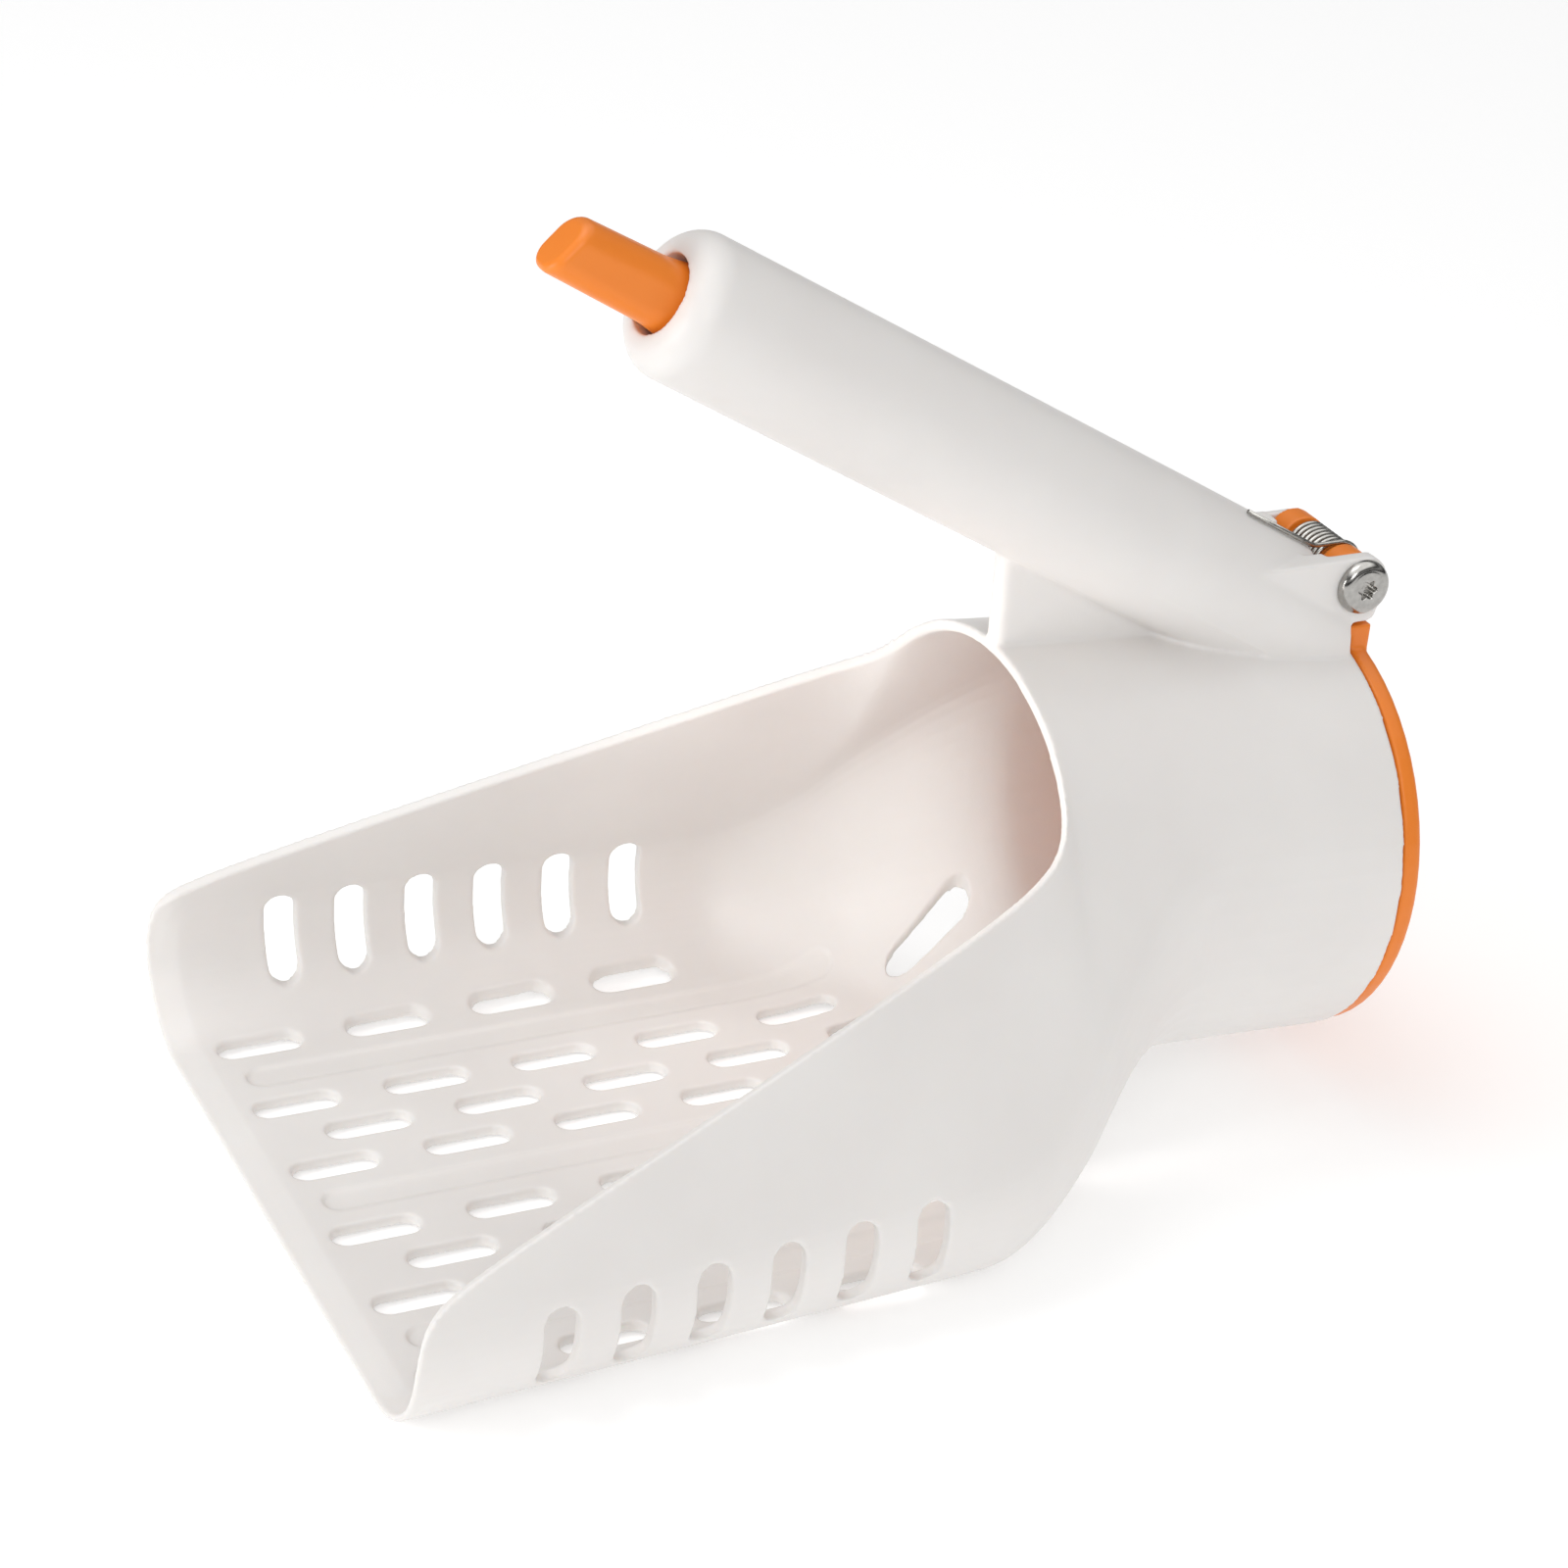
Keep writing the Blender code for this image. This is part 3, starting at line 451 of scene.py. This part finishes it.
def groove_cutter(row_y):
    """Channel with round ends and sloping sides that follows the floor up the shoulder."""
    half = GROOVE_WIDTH / 2
    end = GROOVE_START + GROOVE_LENGTH
    turn = [(half * (1 - cos(radians(a))), half * sin(radians(a))) for a in range(10, 91, 8)]
    plan = [(GROOVE_START + along, width) for along, width in turn]
    plan += [(x, half) for x in range(20, 124, 2)]
    plan += [(end - along, width) for along, width in reversed(turn)]
    rings = []
    for x, width in plan:
        ring = []
        for share, rise in ((-1.0, 3.0), (-1.0, 0.0), (-0.82, -0.7), (-0.55, -1.0),
                            (0.55, -1.0), (0.82, -0.7), (1.0, 0.0), (1.0, 3.0)):
            y = row_y + width * share
            height = floor_height(x, y, WALL) + (rise if rise > 0 else rise * GROOVE_DEPTH)
            ring.append(Vector((x, y, height)))
        rings.append(ring)
    return loft(rings)


def make_slots():
    solids = []
    for row, shift, count in ROWS:
        for i in range(count):
            x = SLOT_FIRST_X + shift + SLOT_PITCH * i
            levels = SLOT_LEVELS if x < SHOULDER_START + 5.0 else ((-3.0, 0.0), (9.0, 0.0))
            for side in (-1, 1):
                solids.append(slot_cutter((x, side * row * ROW_PITCH), SLOT_LENGTH, SLOT_WIDTH, levels))
    for side in (-1, 1):
        centre = (RAMP_SLOT_X, side * RAMP_ROW * ROW_PITCH)
        solids.append(slot_cutter(centre, SLOT_LENGTH, SLOT_WIDTH, ((-3.0, 0.0), (32.0, 0.0))))
    for i in range(SIDE_SLOT_COUNT):
        x = SIDE_SLOT_FIRST_X + SIDE_SLOT_PITCH * i
        z = SIDE_SLOT_BOTTOM + SIDE_SLOT_HEIGHT / 2 + SIDE_SLOT_RISE * x
        for low, high in ((-80.0, -50.0), (50.0, 80.0)):
            solids.append(slot_cutter((x, z), SIDE_SLOT_HEIGHT, SIDE_SLOT_WIDTH,
                                      ((low, 0.0), (high, 0.0)), upright=True))
    for row in GROOVE_ROWS:
        for side in (-1, 1) if row else (1,):
            solids.append(groove_cutter(side * row * ROW_PITCH))
    points, faces = [], []
    for solid_points, solid_faces in solids:
        base = len(points)
        points += solid_points
        faces += [tuple(base + index for index in face) for face in solid_faces]
    return build_object("slots", points, faces)


# --- handle, web and hinge block ---------------------------------------------------------------------

def make_handle():
    nose = []
    for i in range(17):
        a = radians(90.0 * i / 16)
        nose.append((HANDLE_NOSE_START + HANDLE_NOSE_RADIUS * (1 - cos(a)),
                     HANDLE_NOSE_HALF - HANDLE_NOSE_RADIUS * (1 - sin(a))))
    end = (HANDLE_BODY_END + 10.0 - HANDLE_FRONT.x) / AXIS.x
    profile = nose + [(HANDLE_TAPER_END, HANDLE_RADIUS), (end, HANDLE_RADIUS)]
    handle = turned(profile, handle_matrix(), 144)
    trim = prism([(HANDLE_BODY_END, 40.0), (260.0, 40.0), (260.0, 140.0), (HANDLE_BODY_END, 140.0)],
                 -30.0, 30.0)
    cut(handle, trim)
    union(handle, make_web())
    union(handle, prism(block_outline(BLOCK_MIDDLE_Z), -BLOCK_HALF, BLOCK_HALF))
    union(handle, prism(block_outline(BLOCK_TOP_Z), -BLOCK_HALF, -CHEEK_INNER))
    union(handle, prism(block_outline(BLOCK_TOP_Z), CHEEK_INNER, BLOCK_HALF))
    union(handle, prism(far_cheek_outline(), BLOCK_HALF - 4.0, FAR_EAR[1]))
    return handle


def make_web():
    front, rear = WEB_X
    plan = [(front + WEB_CORNER * (1 - cos(a)), WEB_HALF - WEB_CORNER * (1 - sin(a)))
            for a in (radians(90.0 * i / 5) for i in range(6))]
    outline = plan + [(rear, WEB_HALF), (rear, -WEB_HALF)] + [(x, -y) for x, y in reversed(plan)]
    rings = []
    for level in (0.0, 1.0):
        ring = []
        for x, y in outline:
            top = handle_point((x - HANDLE_FRONT.x) / AXIS.x).z - 5.0
            ring.append(Vector((x, y, WEB_BASE_Z if level == 0.0 else top)))
        rings.append(ring)
    return build_object("web", *loft(rings))


def block_outline(top):
    heel = (PIN.x + EAR_HEEL[0], PIN.z + EAR_HEEL[1])
    outline = [(BLOCK_FRONT_X, BLOCK_BASE_Z), (HANDLE_BODY_END, BLOCK_BASE_Z)]
    outline += [(HANDLE_BODY_END, heel[1] - EAR_HEEL_RADIUS)]
    outline += arc(heel, EAR_HEEL_RADIUS, -90.0, -10.0, 8)
    outline += arc((PIN.x, PIN.z), EAR_RADIUS, -10.0, 70.0, 16)
    outline += [(PIN.x - 1.0, top), (158.0, top)]
    return outline


def far_cheek_outline():
    top = PIN.z + FAR_EAR_RADIUS
    outline = [(182.0, BLOCK_BASE_Z + 4.0), (HANDLE_BODY_END, BLOCK_BASE_Z + 4.0)]
    outline += [(HANDLE_BODY_END, PIN.z - FAR_EAR_RADIUS)]
    outline += arc((PIN.x, PIN.z), FAR_EAR_RADIUS, -90.0, 90.0, 24)
    outline += [(176.0, top)]
    return outline


def pocket_outline():
    front = PIN.x - POCKET_FRONT
    outline = [(front, PIN.z)]
    outline += arc((PIN.x, PIN.z), POCKET_RADIUS, 190.0, 260.0, 14)
    outline += [(HANDLE_BODY_END, PIN.z - POCKET_RADIUS), (HANDLE_BODY_END, CAVITY_FLOOR_Z - 0.8)]
    outline += [(PIN.x + 20.0, CAVITY_FLOOR_Z - 0.8)]
    outline += [(PIN.x + 20.0, 115.0), (front, 115.0)]
    return outline


def cavity_outline():
    def place(along, rise):
        point = handle_point(along, 0.0, rise)
        return point.x, point.z
    low = (HANDLE_FRONT.z + CAVITY_LOW * RISE.z - CAVITY_FLOOR_Z) / sin(HANDLE_PITCH)
    rear = HANDLE_BODY_END + 15.0
    return [place(CAVITY_START, CAVITY_LOW), place(low, CAVITY_LOW), (rear, CAVITY_FLOOR_Z),
            (rear, PIN.z), (PIN.x - 3.0, PIN.z), place(CAVITY_START + 16.0, CAVITY_HIGH),
            place(CAVITY_START, CAVITY_HIGH)]


def fillet_weight(point):
    """How much the surface round the handle's root is smoothed, from 0 to 1."""
    x, y, z = point
    along = ease(x, 122.0, 132.0) * (1.0 - ease(x, 166.0, 186.0))
    height = ease(z, 80.0, 88.0)
    return along * height


def fillet(obj, rounds):
    """Smooth the creases between handle, web and neck into soft fillets."""
    group = obj.vertex_groups.new(name="fillet")
    mesh = obj.data
    for vertex in mesh.vertices:
        point = vertex.co / MM + ORIGIN
        if point.z > 80.0 and 122.0 < point.x < 186.0:
            weight = fillet_weight(point)
            if weight > 0.0:
                group.add([vertex.index], weight, "REPLACE")
    smooth = obj.modifiers.new("fillet", "SMOOTH")
    smooth.factor = 0.5
    smooth.iterations = rounds
    smooth.vertex_group = "fillet"
    apply_modifiers(obj)
    obj.vertex_groups.clear()
    return obj


def make_body():
    shell = make_shell()
    cut(shell, make_slots())
    handle = make_handle()
    cut(handle, make_neck_core())
    cut(handle, turned([(-5.0, BORE_RADIUS), (BORE_END, BORE_RADIUS)], handle_matrix(), 96))
    cut(handle, turned([(BORE_END - 5.0, ROD_HOLE_RADIUS), (CAVITY_START + 5.0, ROD_HOLE_RADIUS)],
                       handle_matrix(), 48))
    cut(handle, prism(cavity_outline(), -CAVITY_HALF, CAVITY_HALF))
    cut(handle, prism(pocket_outline(), NEAR_EAR[1], FAR_EAR[0]))
    shoulder_room = [(HANDLE_BODY_END, 80.0), (230.0, 80.0), (230.0, PIN.z + ARM_TOP + 0.6),
                     (HANDLE_BODY_END, PIN.z + ARM_TOP + 0.6)]
    cut(handle, prism(shoulder_room, -BLOCK_HALF - 4.0, BLOCK_HALF + 4.0))
    cut(handle, pin_cylinder(PIN_HOLE_RADIUS, (-20.0, 20.0)))
    cut(handle, pin_cylinder(3.4, (FAR_EAR[1] - 1.0, 20.0)))
    body = join(shell, [handle])
    soften(body, BODY_VOXEL, 4)
    fillet(body, 10)
    body.name = "body_moulding"
    return body


# --- button, spring, screw --------------------------------------------------------------------------

def rounded_ring(along, half_y, half_h, corner, tilt=0.0, steps=14):
    ring = []
    for quadrant in range(4):
        for i in range(steps + 1):
            a = radians(90.0 * quadrant + 90.0 * i / steps)
            side = (half_y - corner) * (1 if quadrant in (0, 3) else -1) + corner * cos(a)
            rise = (half_h - corner) * (1 if quadrant in (0, 1) else -1) + corner * sin(a)
            ring.append(handle_point(along + tilt * rise, side, rise))
    return ring


def make_button():
    rings = []
    edge = 12
    for i in range(edge + 1):
        a = radians(90.0 * i / edge)
        shrink = BUTTON_EDGE * (1 - sin(a))
        rings.append(rounded_ring(BUTTON_TIP + 0.05 + BUTTON_EDGE * (1 - cos(a)),
                                  BUTTON_TIP_HALF[0] - shrink, BUTTON_TIP_HALF[1] - shrink,
                                  BUTTON_CORNER - shrink, BUTTON_SLANT))
    count = 24
    for i in range(count + 1):
        t = i / count
        along = BUTTON_FLARE_START + (BUTTON_FLARE_END - BUTTON_FLARE_START) * t
        grow = 1 - cos(t * pi / 2)
        half_y = BUTTON_ROOT_HALF[0] + (BUTTON_BASE_RADIUS - BUTTON_ROOT_HALF[0]) * grow
        half_h = BUTTON_ROOT_HALF[1] + (BUTTON_BASE_RADIUS - BUTTON_ROOT_HALF[1]) * grow
        corner = BUTTON_CORNER + (BUTTON_BASE_RADIUS - 0.05 - BUTTON_CORNER) * grow
        rings.append(rounded_ring(along, half_y, half_h, corner))
    rings.append(rounded_ring(BUTTON_BASE, BUTTON_BASE_RADIUS, BUTTON_BASE_RADIUS,
                              BUTTON_BASE_RADIUS - 0.05))
    button = build_object("button_cap", *loft(rings))
    cut(button, turned([(1.7, 2.8), (BUTTON_BASE + 5.0, 2.8)], handle_matrix(), 48))
    soften(button, 0.22, 5)
    return button


def make_screw():
    """Polished button head with a six-lobed socket, and its shank."""
    seat = NEAR_EAR[0] - 0.02
    face = seat - HEAD_HEIGHT
    segments = 144

    def lobed(radius, share):
        return [radius * (1 + share * (cos(6 * 2 * pi * j / segments) - 0.4)) for j in range(segments)]

    rings = [(face + SOCKET_DEPTH, lobed(SOCKET_RADIUS * 0.3, 0.0)),
             (face + SOCKET_DEPTH * 0.96, lobed(SOCKET_RADIUS * 0.94, 0.16)),
             (face + SOCKET_DEPTH * 0.9, lobed(SOCKET_RADIUS, 0.16)),
             (face + 0.12, lobed(SOCKET_RADIUS, 0.16)),
             (face, lobed(SOCKET_RADIUS + 0.14, 0.14)),
             (face, lobed(2.7, 0.0)),
             (face, lobed(HEAD_FACE_RADIUS - 0.1, 0.0)),
             (face + 0.03, lobed(HEAD_FACE_RADIUS, 0.0))]
    for i in range(1, 15):
        a = radians(90.0 * i / 14)
        rings.append((face + HEAD_HEIGHT * 0.75 * (1 - cos(a)) + 0.08,
                      lobed(HEAD_FACE_RADIUS + (HEAD_RADIUS - HEAD_FACE_RADIUS) * sin(a), 0.0)))
    rings += [(seat - 0.12, lobed(HEAD_RADIUS, 0.0)), (seat, lobed(HEAD_RADIUS - 0.12, 0.0)),
              (seat, lobed(1.5, 0.0)), (3.0, lobed(1.45, 0.0))]
    matrix = pin_matrix()
    loops = []
    for along, radii in rings:
        loops.append([matrix @ Vector((along, radius * cos(2 * pi * j / segments),
                                       radius * sin(2 * pi * j / segments)))
                      for j, radius in enumerate(radii)])
    screw = build_object("screw", *loft(loops))
    screw.data.shade_smooth()
    screw.data.set_sharp_from_angle(angle=radians(28.0))
    return screw


def spring_path():
    path = []
    near, far = SPRING_SPAN
    top = PIN.z + SPRING_RADIUS
    lift = PIN.z + SPRING_RADIUS + 0.5
    height = sqrt(HANDLE_RADIUS ** 2 - near ** 2) + SPRING_WIRE + 0.2
    front = handle_point(0.0, 0.0, height)
    bend_x = front.x + (front.z - lift) / tan(HANDLE_PITCH)
    start = Vector((bend_x - SPRING_LEG * AXIS.x, near, lift + SPRING_LEG * sin(HANDLE_PITCH)))
    path.append(start)
    bend = Vector((bend_x, near, lift))
    flat = Vector((PIN.x - 4.0, near, lift))
    before = bend + (start - bend).normalized() * 1.2
    after = bend + (flat - bend).normalized() * 1.2
    for i in range(7):
        t = i / 6
        path.append(before * (1 - t) ** 2 + bend * 2 * t * (1 - t) + after * t ** 2)
    path.append(flat)
    steps = 40
    total = int(SPRING_TURNS * steps) + steps * 3 // 4
    for i in range(total + 1):
        a = pi / 2 - 2 * pi * i / steps
        radius = SPRING_RADIUS + (lift - top) * max(0.0, 1 - i / steps)
        y = near + (far - near) * i / total
        path.append(Vector((PIN.x + radius * cos(a), y, PIN.z + radius * sin(a))))
    return path


def tube(path, radius, sides=16):
    rings = []
    side = Vector((0.0, 1.0, 0.0))
    for i, point in enumerate(path):
        ahead = path[min(i + 1, len(path) - 1)]
        behind = path[max(i - 1, 0)]
        along = (ahead - behind).normalized()
        across = (side - along * side.dot(along)).normalized()
        up = along.cross(across)
        ring = []
        for j in range(sides):
            a = 2 * pi * j / sides
            ring.append(point + across * radius * cos(a) + up * radius * sin(a))
        rings.append(ring)
    return build_object("wire", *loft(rings))


# --- materials -----------------------------------------------------------------------------------------

def new_material(name, roughness, metallic=0.0):
    material = bpy.data.materials.new(name)
    material.use_nodes = True
    tree = material.node_tree
    shader = tree.nodes["Principled BSDF"]
    shader.inputs["Roughness"].default_value = roughness
    shader.inputs["Metallic"].default_value = metallic
    coordinates = tree.nodes.new("ShaderNodeTexCoord")
    return material, tree, shader, coordinates.outputs["Object"]


def add_noise(tree, vector, scale, detail=4.0):
    noise = tree.nodes.new("ShaderNodeTexNoise")
    noise.inputs["Scale"].default_value = scale
    noise.inputs["Detail"].default_value = detail
    tree.links.new(vector, noise.inputs["Vector"])
    return noise.outputs["Fac"]


def add_ramp(tree, factor, low, high, start=0.3, end=0.7):
    ramp = tree.nodes.new("ShaderNodeValToRGB")
    ramp.color_ramp.elements[0].position = start
    ramp.color_ramp.elements[0].color = (*low, 1.0)
    ramp.color_ramp.elements[1].position = end
    ramp.color_ramp.elements[1].color = (*high, 1.0)
    tree.links.new(factor, ramp.inputs["Fac"])
    return ramp.outputs["Color"]


def add_range(tree, value, low, high):
    node = tree.nodes.new("ShaderNodeMapRange")
    node.inputs["To Min"].default_value = low
    node.inputs["To Max"].default_value = high
    tree.links.new(value, node.inputs["Value"])
    return node.outputs["Result"]


def add_bump(tree, shader, height, strength, distance):
    bump = tree.nodes.new("ShaderNodeBump")
    bump.inputs["Strength"].default_value = strength
    bump.inputs["Distance"].default_value = distance
    tree.links.new(height, bump.inputs["Height"])
    tree.links.new(bump.outputs["Normal"], shader.inputs["Normal"])


def moulded_plastic(name, dark, light, roughness, subsurface):
    """Moulded plastic: faint cloudy colour, a fine satin grain, a little light inside."""
    material, tree, shader, place = new_material(name, roughness)
    cloud = add_noise(tree, place, 28.0)
    tree.links.new(add_ramp(tree, cloud, dark, light), shader.inputs["Base Color"])
    gloss = add_noise(tree, place, 160.0)
    tree.links.new(add_range(tree, gloss, roughness - 0.05, roughness + 0.07),
                   shader.inputs["Roughness"])
    grain = add_noise(tree, place, 2600.0, 2.0)
    add_bump(tree, shader, grain, 0.06, 0.0002)
    shader.inputs["Subsurface Weight"].default_value = subsurface
    shader.inputs["Subsurface Radius"].default_value = (1.0, 0.8, 0.6)
    shader.inputs["Subsurface Scale"].default_value = 0.002
    shader.inputs["IOR"].default_value = 1.49
    return material


def steel(name, dark, light, roughness, stretch):
    """Metal with fine scratches along one direction."""
    material, tree, shader, place = new_material(name, roughness, 1.0)
    mapping = tree.nodes.new("ShaderNodeMapping")
    mapping.inputs["Scale"].default_value = stretch
    tree.links.new(place, mapping.inputs["Vector"])
    scratches = add_noise(tree, mapping.outputs["Vector"], 900.0, 6.0)
    tree.links.new(add_ramp(tree, scratches, dark, light), shader.inputs["Base Color"])
    tree.links.new(add_range(tree, scratches, roughness - 0.06, roughness + 0.1),
                   shader.inputs["Roughness"])
    add_bump(tree, shader, scratches, 0.05, 0.00005)
    return material


def paint(obj, material):
    obj.data.materials.clear()
    obj.data.materials.append(material)


def repaint(obj, material):
    """Give a CAD node a new material in its own slots."""
    for slot in obj.material_slots:
        slot.material = material


# --- the scoop --------------------------------------------------------------------------------------------

white = moulded_plastic("white_moulded", (0.75, 0.725, 0.705), (0.79, 0.77, 0.75), 0.40, 0.15)
orange = moulded_plastic("orange_moulded", (0.78, 0.195, 0.010), (0.84, 0.225, 0.016), 0.36, 0.08)
polished = steel("polished_steel", (0.36, 0.35, 0.335), (0.46, 0.45, 0.43), 0.17, (1.0, 1.0, 1.0))
drawn = steel("drawn_wire", (0.34, 0.33, 0.31), (0.52, 0.51, 0.48), 0.24, (1.0, 4.0, 1.0))


def place_piece(obj, name, body, node, material):
    obj.name = name
    obj.data.name = name
    paint(obj, material)
    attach(obj, body)
    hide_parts(node)
    return obj


place_piece(make_body(), "body_moulding", "scoop", "scoop_body", white)
place_piece(make_button(), "button_cap", "plunger", "thumb_button", orange)
place_piece(make_screw(), "screw_polished", "scoop", "hinge_screw", polished)
wire = tube(spring_path(), SPRING_WIRE)
wire.data.shade_smooth()
place_piece(wire, "spring_wire", "scoop", "torsion_spring", drawn)

nodes = frame["nodes"]
for name in ("push_rod", "pusher"):
    repaint(nodes[name], orange)
    edge = nodes[name].modifiers.new("edge", "BEVEL")
    edge.width = 0.3 * MM
    edge.segments = 3
repaint(nodes["hinge_sleeve_nut"], polished)
edge = nodes["hinge_sleeve_nut"].modifiers.new("edge", "BEVEL")
edge.width = 0.15 * MM
edge.segments = 3


def copy_node(node):
    mesh = nodes[node].data.copy()
    obj = bpy.data.objects.new(node, mesh)
    bpy.context.collection.objects.link(obj)
    return obj


flap = soften(copy_node("rear_flap"), FLAP_VOXEL, 6)
place_piece(flap, "flap_moulding", "flap", "rear_flap", orange)

# --- floor, light and camera ----------------------------------------------------------------------------------
CAMERA_PLACE = Vector((-176.5, -536.8, 380.8))     # from the lip, in millimetres
CAMERA_AZIMUTH = radians(26.72)
CAMERA_ELEVATION = radians(27.28)
CAMERA_ROLL = radians(4.07)
CAMERA_LENS = 89.08


def make_floor():
    size = 4.0
    points = [(-size, -size, 0.0), (size, -size, 0.0), (size, size, 0.0), (-size, size, 0.0)]
    mesh = bpy.data.meshes.new("floor")
    mesh.from_pydata([Vector(p) - Vector((0.0, 0.0, 0.0004)) for p in points], [], [(0, 1, 2, 3)])
    floor = bpy.data.objects.new("floor", mesh)
    bpy.context.collection.objects.link(floor)
    material, tree, shader, place = new_material("pale_floor", 0.9)
    shader.inputs["Base Color"].default_value = (0.92, 0.92, 0.92, 1.0)
    shader.inputs["Emission Color"].default_value = (1.0, 1.0, 1.0, 1.0)
    shader.inputs["Emission Strength"].default_value = 0.25
    mesh.materials.append(material)


def make_light(name, place, target, size, energy, colour=(1.0, 1.0, 1.0)):
    light = bpy.data.lights.new(name, "AREA")
    light.shape = "RECTANGLE"
    light.size, light.size_y = size
    light.energy = energy
    light.color = colour
    obj = bpy.data.objects.new(name, light)
    obj.location = place
    obj.rotation_euler = (Vector(target) - Vector(place)).to_track_quat("-Z", "Y").to_euler()
    obj.visible_camera = False
    bpy.context.collection.objects.link(obj)


def make_camera():
    data = bpy.data.cameras.new("camera")
    data.lens = CAMERA_LENS
    data.sensor_width = 36.0
    data.clip_start = 0.01
    camera = bpy.data.objects.new("camera", data)
    turn = (Matrix.Rotation(-CAMERA_AZIMUTH, 4, "Z")
            @ Matrix.Rotation(pi / 2 - CAMERA_ELEVATION, 4, "X")
            @ Matrix.Rotation(CAMERA_ROLL, 4, "Z"))
    camera.matrix_world = Matrix.Translation((CAMERA_PLACE - ORIGIN) * MM) @ turn
    bpy.context.collection.objects.link(camera)
    bpy.context.scene.camera = camera


def make_world():
    """Even white light; what shines sees a studio with dark sides below a bright ceiling."""
    world = bpy.data.worlds.new("studio")
    bpy.context.scene.world = world
    world.use_nodes = True
    tree = world.node_tree
    background = tree.nodes["Background"]
    background.inputs["Strength"].default_value = 0.66
    coordinates = tree.nodes.new("ShaderNodeTexCoord")
    split = tree.nodes.new("ShaderNodeSeparateXYZ")
    tree.links.new(coordinates.outputs["Generated"], split.inputs["Vector"])
    ramp = tree.nodes.new("ShaderNodeValToRGB")
    stops = ramp.color_ramp.elements
    stops[0].position, stops[0].color = 0.0, (0.02, 0.02, 0.02, 1.0)
    stops[1].position, stops[1].color = 0.78, (2.4, 2.4, 2.4, 1.0)
    for position, grey in ((0.12, 0.04), (0.30, 0.75), (0.42, 0.12), (0.55, 0.10)):
        stop = stops.new(position)
        stop.color = (grey, grey, grey, 1.0)
    tree.links.new(split.outputs["Z"], ramp.inputs["Fac"])
    rays = tree.nodes.new("ShaderNodeLightPath")
    mix = tree.nodes.new("ShaderNodeMix")
    mix.data_type = "RGBA"
    mix.inputs["A"].default_value = (1.0, 1.0, 1.0, 1.0)
    tree.links.new(rays.outputs["Is Glossy Ray"], mix.inputs["Factor"])
    tree.links.new(ramp.outputs["Color"], mix.inputs["B"])
    tree.links.new(mix.outputs["Result"], background.inputs["Color"])


bpy.context.scene.view_settings.view_transform = "Standard"
make_floor()
make_world()
make_light("key", (-0.35, -1.0, 0.75), (0.0, 0.0, 0.05), (0.5, 0.5), 2.7)
make_light("top", (-0.25, 0.2, 1.3), (0.0, 0.0, 0.05), (0.7, 0.7), 2.6)
make_light("mouth", (-0.55, 0.0, 0.22), (0.06, 0.0, 0.04), (0.2, 0.2), 0.9)
make_light("inside", (0.02, -0.01, 0.075), (0.09, 0.012, 0.045), (0.05, 0.05), 0.017, (1.0, 0.92, 0.89))
make_camera()
